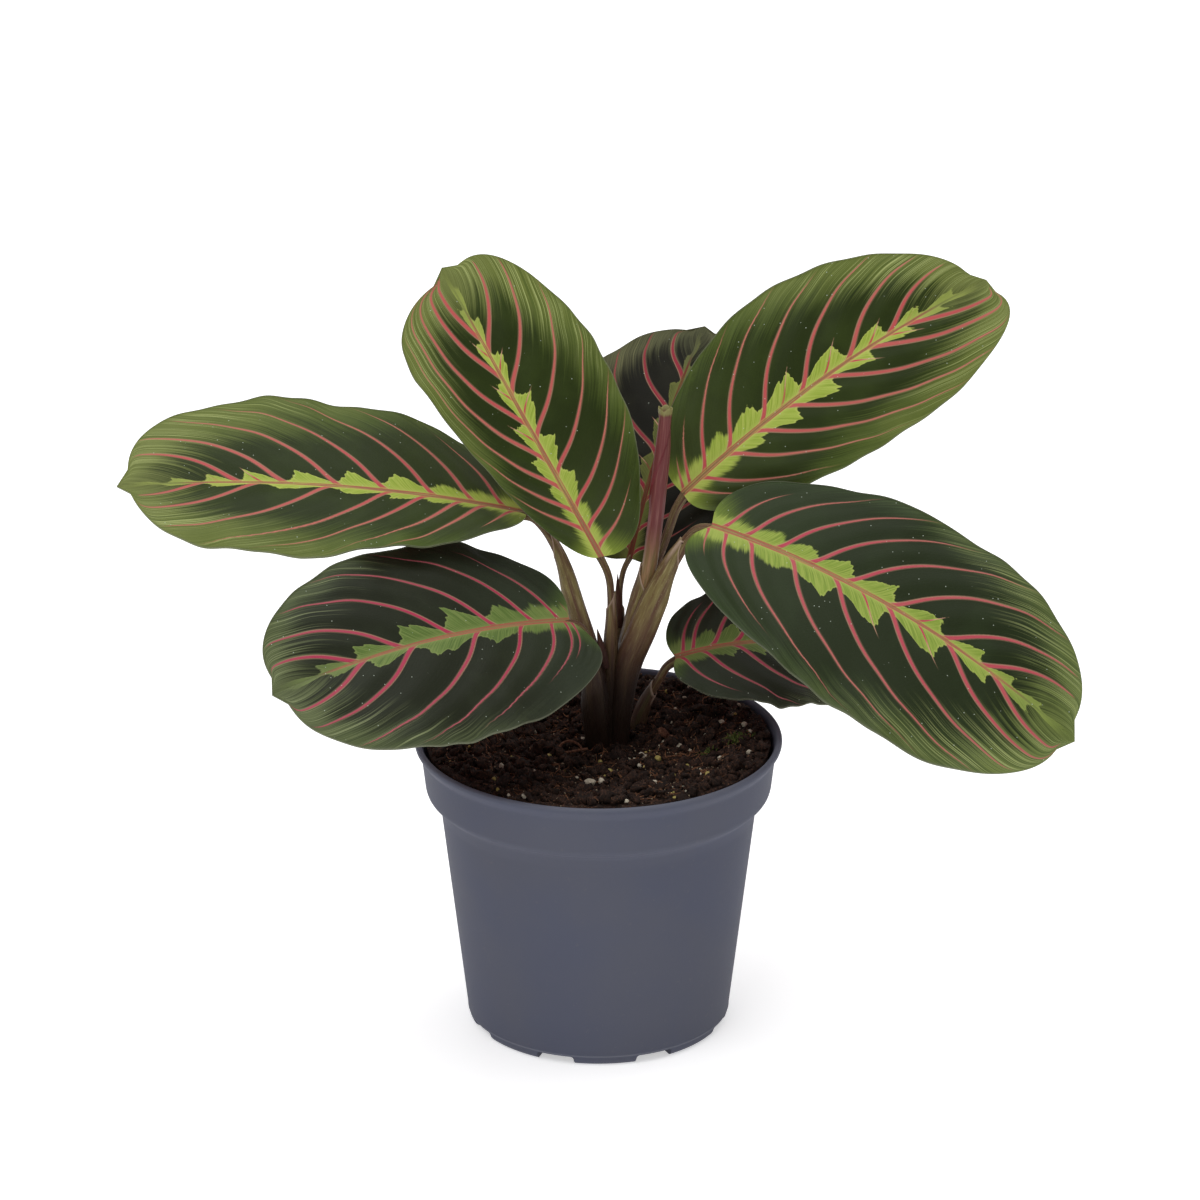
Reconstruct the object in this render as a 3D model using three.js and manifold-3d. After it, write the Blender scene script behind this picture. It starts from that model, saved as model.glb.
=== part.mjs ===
// A young red-veined prayer plant (Maranta) in its round plastic nursery pot.
// Millimetres, +Z up. The origin is the centre of the pot's flat underside.

import * as THREE from 'three';
import { mergeVertices } from 'three/addons/utils/BufferGeometryUtils.js';
import Module from 'manifold-3d';

const wasm = await Module();
wasm.setup();

// Driving dimensions

const CLEARANCE = 0.3; // between pieces that touch

// Pot: outer radii and heights, from the floor to the lip
const POT_SEGMENTS = 48;
const POT_WALL = 0.9;
const BASE_RADIUS = 20.4;
const BODY_FOOT_RADIUS = 21.4;
const BODY_FOOT_HEIGHT = 2.2;
const BODY_TOP_RADIUS = 25.5;
const BODY_TOP_HEIGHT = 36.5;
const BAND_FOOT_RADIUS = 28.0;
const BAND_FOOT_HEIGHT = 40.2;
const BAND_TOP_RADIUS = 28.8;
const BAND_TOP_HEIGHT = 47.0;
const LIP_RADIUS = 29.8;
const POT_HEIGHT = 49.0;
const FLOOR_THICKNESS = 1.1;

// Eight drainage slots through the corner of wall and floor
const SLOT_COUNT = 8;
const SLOT_WIDTH = 6.3;
const SLOT_HEIGHT = 1.5;
const SLOT_INNER_RADIUS = 17.5;
const SLOT_TURN = -19.5; // degrees: the first slot stands this far round from the front

// Soil
const SOIL_LEVEL = 46.2;
const SOIL_RINGS = 9;
const GRAIN_COUNT = 22; // the larger perlite grains and fertiliser beads
const GRAIN_RADIUS = [0.5, 1.05];
const GRAIN_SINK = 0.3; // share of its radius that a grain's centre lies under the surface
const GRAIN_REACH = 25; // farthest grain from the pot's axis
const GRAIN_GAP = 6; // between the crown and the nearest grain
const GRAIN_SEED = 7;

// Crown: the short stem base that the leaf sheaths grow from, in the soil
const CROWN_CENTRE = [1.5, 3.5];
const CROWN_RADIUS = 5.0;
const CROWN_SQUASH = 0.85; // front-to-back size over side-to-side size
const CROWN_TAPER = 0.7;
const CROWN_TOP = 45.8;
const CROWN_DEPTH = 9.0;
const CROWN_SEGMENTS = 24;
const CROWN_HOLE_RISE = 3.0; // the hole in the soil opens this far past the crown's top

// Leaf blades
const BLADE_THICKNESS = 0.7;
const BLADE_ROWS = 18;
const BLADE_COLUMNS = [-1, -0.86, -0.64, -0.38, -0.16, 0, 0.16, 0.38, 0.64, 0.86, 1];
const EDGE_WAVE = 0.6; // height of the waves along the margins
const EDGE_WAVES = 3.2; // waves along each margin
const TIP_CUSP = 2.0; // length of the small point at the tip
const CUSP_WIDTH = 1.3;
const RIB_SKIN = 0.15; // blade left over the midrib
const RIB_PLACES = [0.03, 0.14, 0.34, 0.55]; // shares of the blade's length, up to the midrib's end
const RIB_TIP_RADIUS = 0.35;

// Each leaf: base is where the stalk meets the blade, tip is the blade's end, facing is where its
// upper side looks. arch lifts the midrib's middle towards the upper side and bow moves it to the
// right. vee is the fold along the midrib in degrees. left and right are the two halves, seen from
// above with the tip ahead: width of the half, place of its widest part, roundness at base and tip,
// droop of the margin, how far the half reaches back past the base and ahead towards the tip, and
// the phase of the waves in its margin. stalk is the petiole from its sheath to the blade.
const LEAVES = [
  {
    name: 'leaf_left', base: [-11.5, 2.5, 87], tip: [-74.5, -4, 94], facing: [0, -0.39, 0.92],
    arch: 3, bow: 0, vee: 9,
    left: {
      width: 16.5, widest: 0.58, roundBase: 1.2, roundTip: 2.6, droop: 2.5, back: 0, ahead: 0, phase: 0,
    },
    right: {
      width: 18.5, widest: 0.56, roundBase: 1.8, roundTip: 2.8, droop: 2, back: 1, ahead: 1, phase: 1.5,
    },
    stalkRadius: 0.7, stalk: [[-5.7, 1.2, 78.3], [-7.2, 1.2, 82], [-8.8, 1.5, 84.6], [-10.3, 2, 86]],
  },
  {
    name: 'leaf_upper_left', base: [0.5, -1, 80.5], tip: [-24, 11, 123.5], facing: [0.1, -0.85, 0.45],
    arch: 3, bow: -0.5, vee: 8,
    left: {
      width: 12.4, widest: 0.77, roundBase: 1.1, roundTip: 2.8, droop: 2, back: -1, ahead: 0, phase: 0,
    },
    right: {
      width: 16, widest: 0.52, roundBase: 2, roundTip: 2.6, droop: 2.5, back: 2, ahead: 3, phase: 1.5,
    },
    stalkRadius: 0.6, stalk: [[2, 2.4, 69], [2, 2.1, 72.5], [1.6, 1, 76.5]],
  },
  {
    name: 'leaf_back', base: [5, 9, 76.5], tip: [17, 46, 101.5], facing: [-0.1, -0.4, 0.9],
    arch: 3, bow: 0, vee: 6,
    left: {
      width: 17, widest: 0.52, roundBase: 2, roundTip: 2.6, droop: 2, back: 2, ahead: 0, phase: 0,
    },
    right: {
      width: 16, widest: 0.52, roundBase: 2, roundTip: 2.5, droop: 2, back: 2, ahead: 0, phase: 0,
    },
    stalkRadius: 0.45, stalk: [[3.5, 6.2, 68.5], [3.5, 6.6, 72], [4, 7.6, 74.6]],
  },
  {
    name: 'leaf_upper_right', base: [13.5, 6.5, 88.5], tip: [60.5, 19, 119.5], facing: [-0.2, -0.92, 0.35],
    arch: 2.5, bow: -1.8, vee: 6,
    left: {
      width: 17, widest: 0.5, roundBase: 1.9, roundTip: 1.5, droop: 2, back: 0.5, ahead: 0, phase: 0,
    },
    right: {
      width: 14.5, widest: 0.6, roundBase: 1.9, roundTip: 3, droop: 2, back: 1, ahead: 5, phase: 1.5,
    },
    stalkRadius: 0.75, stalk: [[8.6, 5, 75.5], [10, 5.2, 79], [11.4, 5.7, 83], [12.5, 6.4, 86]],
  },
  {
    name: 'leaf_right', base: [18, -2, 86.5], tip: [73.5, -28, 61.5], facing: [0.2, -0.75, 0.6],
    arch: 4, bow: -2, vee: 4,
    left: {
      width: 17.2, widest: 0.5, roundBase: 2, roundTip: 2.6, droop: 2, back: 2, ahead: 0, phase: 0,
    },
    right: {
      width: 19.5, widest: 0.6, roundBase: 2, roundTip: 2.6, droop: 2, back: 5, ahead: 2, phase: 1.5,
    },
    stalkRadius: 0.95, stalk: [[11.2, 1.2, 77], [12.6, 0.8, 80], [14.2, 0.2, 83], [16, -0.6, 85]],
  },
  {
    name: 'leaf_small_right', base: [12.5, 6, 60.5], tip: [43.5, 15, 57], facing: [0.1, -0.5, 0.85],
    arch: 2, bow: -1.5, vee: 6,
    left: {
      width: 12.5, widest: 0.52, roundBase: 2, roundTip: 2.5, droop: 1, back: 1.5, ahead: 0, phase: 0,
    },
    right: {
      width: 13.5, widest: 0.52, roundBase: 2, roundTip: 2.5, droop: 1, back: 3, ahead: 0, phase: 1.5,
    },
    stalkRadius: 0.7, stalk: [[8.7, 8, 53.5], [10, 7.3, 56.2], [11.2, 6.8, 58.4]],
  },
  {
    name: 'leaf_lower_left', base: [-4.5, -4, 71], tip: [-49, -38, 73], facing: [-0.2, -0.75, 0.6],
    arch: 3, bow: 1, vee: 6,
    left: {
      width: 18.5, widest: 0.5, roundBase: 2.5, roundTip: 2.5, droop: 2, back: 5, ahead: 2, phase: 0,
    },
    right: {
      width: 17.3, widest: 0.5, roundBase: 2.4, roundTip: 2.8, droop: 2, back: 1, ahead: 2, phase: 1.5,
    },
    stalkRadius: 0.85, stalk: [[-1.4, -0.9, 60.5], [-1.6, -1.3, 64], [-2.2, -2, 67.2], [-3.2, -2.9, 69.2]],
  },
];

// Sheaths of the main shoot, each from its mouth down to the crown: x, y, z, radius
const SHEATHS = [
  [[-6.9, 1.2, 81.4, 1.4], [-5.5, 1.2, 77.5, 1.7], [-3.5, 1.4, 70.5, 1.7], [-1.5, 1.8, 63.5, 1.7],
    [0, 2.6, 56, 1.7], [0.6, 3.4, 45, 1.8]],
  [[2, 2.1, 73.2, 1.2], [2, 2.5, 66.5, 1.2], [2, 3, 59.5, 1.25], [2, 3.8, 45, 1.4]],
  [[3.5, 6.5, 71.6, 1.1], [3.6, 6, 66.5, 1.1], [3.6, 5.2, 60, 1.1], [2.8, 4.6, 45, 1.2]],
  [[9.7, 5.1, 78.5, 1.5], [8.2, 4.9, 74.5, 1.6], [6.4, 4.7, 69, 1.7], [4.6, 4.8, 62, 1.7],
    [2.8, 4.8, 45, 1.6]],
  [[12.6, 0.8, 80.4, 1.7], [11.2, 1.2, 77, 1.9], [9, 1.5, 72, 2.2], [7, 2, 66.5, 2.3], [5, 2.6, 61, 2.2],
    [3.8, 3.2, 54, 1.9], [3, 4, 45, 1.8]],
  [[8, 2.6, 77.5, 1.8], [7.2, 3.2, 73, 1.8], [5.8, 3.6, 67, 1.8], [4.2, 4, 59, 1.7], [2.6, 4.2, 45, 1.6]],
  [[-1.5, -1, 64.6, 1.7], [-1.5, -0.8, 61.5, 1.9], [-0.9, 0.5, 55, 2.0], [0.1, 2.6, 45, 2.0]],
];

// The small leaf's own sheath, which stands alone in the soil: x, y, z, radius
const SIDE_SHEATH = [
  [9.6, 7.5, 55.4, 1.0], [8.5, 8.1, 53, 1.3], [7, 9, 49, 1.35], [5.8, 9.5, 44, 1.4], [5.2, 9.7, 39, 1.2],
];
const SIDE_LEAF = 'leaf_small_right';

// The youngest leaf, still rolled up, from inside its sheath to its tip: x, y, z, radius
const ROLLED_LEAF = [
  [6.9, 3.3, 71.5, 1.0], [8, 2.6, 77, 1.15], [8.9, 1.9, 84, 1.25], [9.6, 1.5, 91, 1.3],
  [10.4, 2, 99, 1.2], [10.6, 2.4, 103.2, 0.9], [10.6, 2.5, 104.6, 0.4],
];

const STEM_SIDES = 8;
const RIB_SIDES = 6;
const WELD_TOLERANCE = 1e-4;

const COLOURS = {
  pot: 0x585b68,
  soil: 0x2c1f17,
  sheath: 0x5a4a30,
  leaf: 0x3f5a2a,
  rolled: 0x8a5560,
};

// Solids and meshes

/** Joins equal vertices and drops the triangles that fall flat. */
function welded(geometry) {
  const bare = geometry.clone();
  bare.deleteAttribute('normal');
  bare.deleteAttribute('uv');
  const merged = mergeVertices(bare, WELD_TOLERANCE);
  const index = merged.index.array;
  const kept = [];
  for (let i = 0; i < index.length; i += 3) {
    const [a, b, c] = [index[i], index[i + 1], index[i + 2]];
    if (a !== b && b !== c && c !== a) kept.push(a, b, c);
  }
  merged.setIndex(kept);
  return merged;
}

/** A manifold solid from a closed geometry, turned so that its faces point out. */
function solid(geometry) {
  const mesh = welded(geometry);
  const vertProperties = new Float32Array(mesh.attributes.position.array);
  const triVerts = new Uint32Array(mesh.index.array);
  if (signedVolume(vertProperties, triVerts) < 0) triVerts.reverse();
  return new wasm.Manifold(new wasm.Mesh({ numProp: 3, vertProperties, triVerts }));
}

/** Six times the signed volume inside a triangle mesh. */
function signedVolume(positions, triangles) {
  const corner = (i) => new THREE.Vector3().fromArray(positions, 3 * triangles[i]);
  let total = 0;
  for (let i = 0; i < triangles.length; i += 3) {
    total += corner(i).dot(corner(i + 1).cross(corner(i + 2)));
  }
  return total;
}

/** A three.js geometry from a manifold solid. */
function geometryOf(manifold) {
  const { vertProperties, triVerts } = manifold.getMesh();
  const geometry = new THREE.BufferGeometry();
  geometry.setAttribute('position', new THREE.BufferAttribute(new Float32Array(vertProperties), 3));
  geometry.setIndex(new THREE.BufferAttribute(new Uint32Array(triVerts), 1));
  geometry.computeVertexNormals();
  return geometry;
}

/** A named mesh with a material of its own. */
function part(name, manifold, color, roughness) {
  const material = new THREE.MeshStandardMaterial({ color, roughness, metalness: 0 });
  const mesh = new THREE.Mesh(geometryOf(manifold), material);
  mesh.name = name;
  return mesh;
}

/** A solid of revolution about Z from radius and height pairs that start and end on the axis. */
function lathed(profile, segments) {
  const points = profile.map(([radius, height]) => new THREE.Vector2(radius, height));
  return new THREE.LatheGeometry(points, segments).rotateX(Math.PI / 2);
}

/** A closed round stem whose radius changes along a smooth path of [x, y, z, radius] stations. */
function stemGeometry(stations, sides = STEM_SIDES, stepsPerSpan = 2) {
  const path = new THREE.CatmullRomCurve3(stations.map(([x, y, z]) => new THREE.Vector3(x, y, z)));
  const steps = stepsPerSpan * (stations.length - 1);
  const frames = path.computeFrenetFrames(steps);
  const positions = [];
  const triangles = [];
  for (let i = 0; i <= steps; i++) {
    const centre = path.getPointAt(i / steps);
    const radius = stationRadius(stations, path.getUtoTmapping(i / steps));
    for (let k = 0; k < sides; k++) {
      const angle = (2 * Math.PI * k) / sides;
      const point = centre.clone()
        .addScaledVector(frames.normals[i], radius * Math.cos(angle))
        .addScaledVector(frames.binormals[i], radius * Math.sin(angle));
      positions.push(...point.toArray());
    }
  }
  for (let i = 0; i < steps; i++) {
    for (let k = 0; k < sides; k++) {
      const next = (k + 1) % sides;
      const [a, b] = [i * sides + k, i * sides + next];
      const [c, d] = [b + sides, a + sides];
      triangles.push(a, b, c, a, c, d);
    }
  }
  const [start, end] = [positions.length / 3, positions.length / 3 + 1];
  positions.push(...path.getPoint(0).toArray(), ...path.getPoint(1).toArray());
  for (let k = 0; k < sides; k++) {
    const next = (k + 1) % sides;
    triangles.push(start, next, k, end, steps * sides + k, steps * sides + next);
  }
  return meshGeometry(positions, triangles);
}

/** The radius at curve parameter t, between the stations on either side. */
function stationRadius(stations, t) {
  const place = t * (stations.length - 1);
  const before = Math.min(Math.floor(place), stations.length - 2);
  return THREE.MathUtils.lerp(stations[before][3], stations[before + 1][3], place - before);
}

/** An indexed geometry from flat lists of coordinates and triangles. */
function meshGeometry(positions, triangles) {
  const geometry = new THREE.BufferGeometry();
  geometry.setAttribute('position', new THREE.Float32BufferAttribute(positions, 3));
  geometry.setIndex(triangles);
  return geometry;
}

// Pot

function potProfile() {
  const outer = [
    [0, 0], [BASE_RADIUS, 0], [BASE_RADIUS + 0.7, 0.7], [BODY_FOOT_RADIUS, BODY_FOOT_HEIGHT],
    [BODY_TOP_RADIUS, BODY_TOP_HEIGHT], [BODY_TOP_RADIUS + 0.5, BAND_FOOT_HEIGHT - 1.6],
    [BODY_TOP_RADIUS + 1.4, BAND_FOOT_HEIGHT - 0.7], [BAND_FOOT_RADIUS - 0.3, BAND_FOOT_HEIGHT - 0.2],
    [BAND_FOOT_RADIUS, BAND_FOOT_HEIGHT + 0.5], [BAND_TOP_RADIUS, BAND_TOP_HEIGHT],
    [LIP_RADIUS - 0.2, POT_HEIGHT - 1.3], [LIP_RADIUS, POT_HEIGHT - 0.8], [LIP_RADIUS - 0.3, POT_HEIGHT],
  ];
  const inner = [
    [BAND_TOP_RADIUS - POT_WALL + 0.4, POT_HEIGHT], [BAND_TOP_RADIUS - POT_WALL, POT_HEIGHT - 0.6],
    [BAND_FOOT_RADIUS - POT_WALL, BAND_FOOT_HEIGHT + 0.9], [BODY_TOP_RADIUS - POT_WALL, BODY_TOP_HEIGHT],
    [BODY_FOOT_RADIUS - POT_WALL, BODY_FOOT_HEIGHT + 0.6], [BASE_RADIUS - POT_WALL, FLOOR_THICKNESS],
    [0, FLOOR_THICKNESS],
  ];
  return [...outer, ...inner];
}

function pot() {
  let body = solid(lathed(potProfile(), POT_SEGMENTS));
  const slotLength = BODY_FOOT_RADIUS - SLOT_INNER_RADIUS + 2;
  for (let i = 0; i < SLOT_COUNT; i++) {
    const slot = new THREE.BoxGeometry(slotLength, SLOT_WIDTH, 2 * SLOT_HEIGHT);
    slot.translate(SLOT_INNER_RADIUS + slotLength / 2, 0, 0);
    slot.rotateZ(THREE.MathUtils.degToRad(-90 + SLOT_TURN + (360 * i) / SLOT_COUNT));
    body = body.subtract(solid(slot));
  }
  return part('pot', body, COLOURS.pot, 0.55);
}

// Soil

/** Height of the lumpy soil surface over its level. */
function soilRelief(x, y) {
  return 0.4 * Math.sin(0.55 * x + 1.3) * Math.cos(0.48 * y - 0.4)
    + 0.25 * Math.sin(1.25 * x - 0.9 * y + 2)
    + 0.2 * Math.cos(1.8 * x + 1.1 * y);
}

function soilGeometry() {
  const inset = POT_WALL + CLEARANCE + 0.1;
  const side = [
    [BASE_RADIUS - inset, FLOOR_THICKNESS + CLEARANCE],
    [BODY_FOOT_RADIUS - inset, BODY_FOOT_HEIGHT + 0.8],
    [BODY_TOP_RADIUS - inset, BODY_TOP_HEIGHT],
    [BAND_FOOT_RADIUS - inset, BAND_FOOT_HEIGHT + 1],
  ];
  const rim = BAND_TOP_RADIUS - inset - 0.2;
  const top = [];
  for (let i = 0; i < SOIL_RINGS; i++) top.push([rim * (1 - i / SOIL_RINGS), SOIL_LEVEL]);
  const geometry = lathed([[0, side[0][1]], ...side, ...top, [0, SOIL_LEVEL]], POT_SEGMENTS);
  const position = geometry.attributes.position;
  for (let i = 0; i < position.count; i++) {
    if (position.getZ(i) < SOIL_LEVEL - 0.01) continue;
    const [x, y] = [position.getX(i), position.getY(i)];
    position.setZ(i, SOIL_LEVEL + soilRelief(x, y));
  }
  return geometry;
}

/** Repeatable random numbers between 0 and 1. */
function seededRandom(seed) {
  let state = seed;
  return () => {
    state = (state * 1664525 + 1013904223) % 4294967296;
    return state / 4294967296;
  };
}

/** Perlite grains and fertiliser beads, half sunk in the soil and clear of the stems. */
function grains() {
  const random = seededRandom(GRAIN_SEED);
  const list = [];
  while (list.length < GRAIN_COUNT) {
    const reach = GRAIN_REACH * Math.sqrt(random());
    const angle = 2 * Math.PI * random();
    const radius = THREE.MathUtils.lerp(...GRAIN_RADIUS, random() ** 2);
    const [x, y] = [reach * Math.cos(angle), reach * Math.sin(angle)];
    if (Math.hypot(x - CROWN_CENTRE[0], y - CROWN_CENTRE[1]) < CROWN_RADIUS + GRAIN_GAP) continue;
    const grain = new THREE.IcosahedronGeometry(radius, 0);
    grain.rotateZ(random() * Math.PI);
    grain.translate(x, y, SOIL_LEVEL + soilRelief(x, y) - GRAIN_SINK * radius);
    list.push(solid(grain));
  }
  return list;
}

function soil(holes) {
  let body = solid(soilGeometry());
  for (const grain of grains()) body = body.add(grain);
  for (const hole of holes) body = body.subtract(hole);
  return part('soil', body, COLOURS.soil, 0.95);
}

// Shoot

/** Stations with every radius grown by the clearance, and the first end lengthened by it. */
function grown(stations) {
  const wider = stations.map(([x, y, z, radius]) => [x, y, z, radius + CLEARANCE]);
  const [first, second] = [wider[0], wider[1]].map(([x, y, z]) => new THREE.Vector3(x, y, z));
  const back = first.clone().sub(second).setLength(CLEARANCE).add(first);
  wider[0] = [...back.toArray(), wider[0][3]];
  return wider;
}

/** The crown's stem base, wider by a clearance on every side, and drawn up past its top by a rise. */
function crown(clearance = 0, rise = 0) {
  const radius = CROWN_RADIUS + clearance;
  const bottom = CROWN_TOP - CROWN_DEPTH - clearance;
  const top = CROWN_TOP + rise;
  const profile = [
    [0, bottom], [radius * CROWN_TAPER, bottom], [radius, CROWN_TOP - 1], [radius, top], [0, top],
  ];
  const geometry = lathed(profile, CROWN_SEGMENTS);
  geometry.scale(1, CROWN_SQUASH, 1);
  geometry.translate(...CROWN_CENTRE, 0);
  return solid(geometry);
}

/** The main shoot's sheaths on their crown, with a socket for each stalk and the rolled leaf. */
function shoot() {
  let body = crown();
  for (const sheath of SHEATHS) body = body.add(solid(stemGeometry(sheath)));
  const guests = LEAVES.filter((leaf) => leaf.name !== SIDE_LEAF).map(stalkStations);
  for (const guest of [...guests, ROLLED_LEAF]) {
    body = body.subtract(solid(stemGeometry(grown(guest))));
  }
  return part('shoot', body, COLOURS.sheath, 0.6);
}

// Leaves

/** A leaf's fixed directions: along its chord, out of its upper side, and to its right. */
function leafAxes(leaf) {
  const base = new THREE.Vector3(...leaf.base);
  const chord = new THREE.Vector3(...leaf.tip).sub(base);
  const along = chord.clone().normalize();
  const facing = new THREE.Vector3(...leaf.facing);
  const up = facing.addScaledVector(along, -facing.dot(along)).normalize();
  return { base, length: chord.length(), along, up, right: along.clone().cross(up) };
}

/** A point on the midrib, u of the way from the stalk to the tip. */
function midrib(leaf, axes, u) {
  const swell = 4 * u * (1 - u);
  return axes.base.clone()
    .addScaledVector(axes.along, axes.length * u)
    .addScaledVector(axes.up, leaf.arch * swell)
    .addScaledVector(axes.right, leaf.bow * swell);
}

/** The midrib's own directions at u: forward, right and out of the upper side. */
function midribFrame(leaf, axes, u) {
  const step = 1e-3;
  const forward = midrib(leaf, axes, Math.min(u + step, 1))
    .sub(midrib(leaf, axes, Math.max(u - step, 0))).normalize();
  const right = forward.clone().cross(axes.up).normalize();
  return { forward, right, up: right.clone().cross(forward) };
}

/** A half's width at u as a share of its full width: 0 at both ends and 1 at its widest. */
function halfShape(half, u) {
  const behind = u < half.widest;
  const reach = behind ? (half.widest - u) / half.widest : (u - half.widest) / (1 - half.widest);
  return Math.sqrt(Math.max(0, 1 - reach ** (behind ? half.roundBase : half.roundTip)));
}

/** A point of the blade's upper face: u from stalk to tip, v from left margin -1 to right margin 1. */
function bladePoint(leaf, axes, u, v) {
  const half = v > 0 ? leaf.right : leaf.left;
  const shape = halfShape(half, u);
  const across = v * half.width * shape;
  const share = Math.abs(across) / half.width;
  const fold = Math.tan(THREE.MathUtils.degToRad(leaf.vee)) * Math.abs(across);
  const wave = EDGE_WAVE * Math.abs(v) ** 3 * Math.sin(2 * Math.PI * EDGE_WAVES * u + half.phase)
    * Math.min(1, 4 * shape);
  const lobe = Math.sin(Math.PI * share) * (half.ahead * u ** 4 - half.back * (1 - u) ** 4);
  const cusp = TIP_CUSP * u ** 30 * Math.exp(-((across / CUSP_WIDTH) ** 2));
  const frame = midribFrame(leaf, axes, u);
  return midrib(leaf, axes, u)
    .addScaledVector(frame.right, across)
    .addScaledVector(frame.up, fold - half.droop * share ** 2 + wave)
    .addScaledVector(frame.forward, lobe + cusp);
}

/** The blade as a closed sheet: each grid place has an upper and a lower vertex. */
function bladeGeometry(leaf, axes) {
  const positions = [];
  const triangles = [];
  const columns = BLADE_COLUMNS.length;
  const addPlace = (u, v) => {
    const upper = bladePoint(leaf, axes, u, v);
    const lower = upper.clone().addScaledVector(midribFrame(leaf, axes, u).up, -BLADE_THICKNESS);
    positions.push(...upper.toArray(), ...lower.toArray());
  };
  const addFace = (a, b, c) => triangles.push(2 * a, 2 * b, 2 * c, 2 * a + 1, 2 * c + 1, 2 * b + 1);
  const [stalkEnd, tipEnd] = [0, 1];
  const place = (row, column) => 2 + row * columns + column;
  addPlace(0, 0);
  addPlace(1, 0);
  for (let row = 0; row < BLADE_ROWS; row++) {
    const u = (1 - Math.cos((Math.PI * (row + 1)) / (BLADE_ROWS + 1))) / 2;
    for (const v of BLADE_COLUMNS) addPlace(u, v);
  }
  const last = BLADE_ROWS - 1;
  for (let column = 0; column < columns - 1; column++) {
    addFace(stalkEnd, place(0, column + 1), place(0, column));
    addFace(tipEnd, place(last, column), place(last, column + 1));
    for (let row = 0; row < last; row++) {
      addFace(place(row, column), place(row, column + 1), place(row + 1, column + 1));
      addFace(place(row, column), place(row + 1, column + 1), place(row + 1, column));
    }
  }
  const rows = [...Array(BLADE_ROWS).keys()];
  const rightMargin = rows.map((row) => place(row, columns - 1));
  const leftMargin = rows.map((row) => place(row, 0)).reverse();
  const rim = [stalkEnd, ...rightMargin, tipEnd, ...leftMargin];
  rim.forEach((a, i) => {
    const b = rim[(i + 1) % rim.length];
    triangles.push(2 * a, 2 * a + 1, 2 * b + 1, 2 * a, 2 * b + 1, 2 * b);
  });
  return meshGeometry(positions, triangles);
}

/** The petiole's stations from its sheath to the blade's base. */
function stalkStations(leaf) {
  return leaf.stalk.map((point) => [...point, leaf.stalkRadius]);
}

/** Petiole and midrib in one stem, which runs on under the blade and thins out in it. */
function stalkAndRib(leaf, axes) {
  const rib = RIB_PLACES.map((u, i) => {
    const radius = THREE.MathUtils.lerp(leaf.stalkRadius, RIB_TIP_RADIUS, i / (RIB_PLACES.length - 1));
    const centre = midrib(leaf, axes, u)
      .addScaledVector(midribFrame(leaf, axes, u).up, -radius - RIB_SKIN);
    return [...centre.toArray(), radius];
  });
  return [...stalkStations(leaf), ...rib];
}

function leafBody(leaf) {
  const axes = leafAxes(leaf);
  return solid(bladeGeometry(leaf, axes)).add(solid(stemGeometry(stalkAndRib(leaf, axes), RIB_SIDES)));
}

// The whole plant

const plant = new THREE.Group();
plant.name = 'potted_prayer_plant';
plant.add(pot());
const sideHole = solid(stemGeometry(grown(SIDE_SHEATH.toReversed())));
plant.add(soil([crown(CLEARANCE, CROWN_HOLE_RISE), sideHole]));
plant.add(shoot());
for (const leaf of LEAVES) {
  let body = leafBody(leaf);
  if (leaf.name === SIDE_LEAF) body = body.add(solid(stemGeometry(SIDE_SHEATH)));
  plant.add(part(leaf.name, body, COLOURS.leaf, 0.5));
}
plant.add(part('rolled_leaf', solid(stemGeometry(ROLLED_LEAF)), COLOURS.rolled, 0.5));

export default plant;
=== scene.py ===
"""A potted prayer plant: its patterned blades, stems, soil and pot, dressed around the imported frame."""

import logging
import math
from collections.abc import Sequence
from dataclasses import dataclass
from enum import Enum

import bpy
import numpy as np
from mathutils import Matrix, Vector, noise


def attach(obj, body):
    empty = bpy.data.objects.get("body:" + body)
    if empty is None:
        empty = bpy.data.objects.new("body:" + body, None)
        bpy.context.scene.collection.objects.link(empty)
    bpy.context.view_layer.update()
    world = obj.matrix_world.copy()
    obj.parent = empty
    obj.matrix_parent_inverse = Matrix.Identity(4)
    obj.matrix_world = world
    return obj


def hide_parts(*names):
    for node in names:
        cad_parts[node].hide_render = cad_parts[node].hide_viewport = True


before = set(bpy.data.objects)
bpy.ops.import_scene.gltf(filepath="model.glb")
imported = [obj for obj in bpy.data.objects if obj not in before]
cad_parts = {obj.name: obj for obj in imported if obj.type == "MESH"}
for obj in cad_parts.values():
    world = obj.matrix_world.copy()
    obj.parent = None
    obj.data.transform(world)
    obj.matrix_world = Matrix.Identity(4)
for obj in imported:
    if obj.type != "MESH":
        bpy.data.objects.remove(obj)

LOG = logging.getLogger("prayer_plant")
MM = 0.001
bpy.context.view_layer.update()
FRONT = (0, -1, 0)

Paint = tuple[float, float, float]
Point = tuple[float, float, float]
Station = tuple[float, float, float, float]
Marks = dict[str, np.ndarray]


# Meshes


def to_triangles(quads: np.ndarray) -> np.ndarray:
    """Splits rows of four corners, whatever each corner holds, into rows of three."""
    return np.concatenate([quads[:, [0, 1, 2]], quads[:, [0, 2, 3]]])


def cell_numbers(rows: int, columns: int) -> tuple[np.ndarray, np.ndarray]:
    """The row and the column number of each cell of a grid."""
    i, j = np.indices((rows, columns))
    return i.ravel(), j.ravel()


def cell_triangles(grid: np.ndarray, i: np.ndarray, j: np.ndarray, beside: np.ndarray) -> np.ndarray:
    """What a grid holds at the corners of two triangles for each cell.

    Args:
        grid: The grid.
        i: The cells' rows.
        j: Their columns.
        beside: The columns next to them.

    Returns:
        Rows of three corners.
    """
    return to_triangles(np.stack([grid[i, j], grid[i, beside], grid[i + 1, beside], grid[i + 1, j]], 1))


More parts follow.
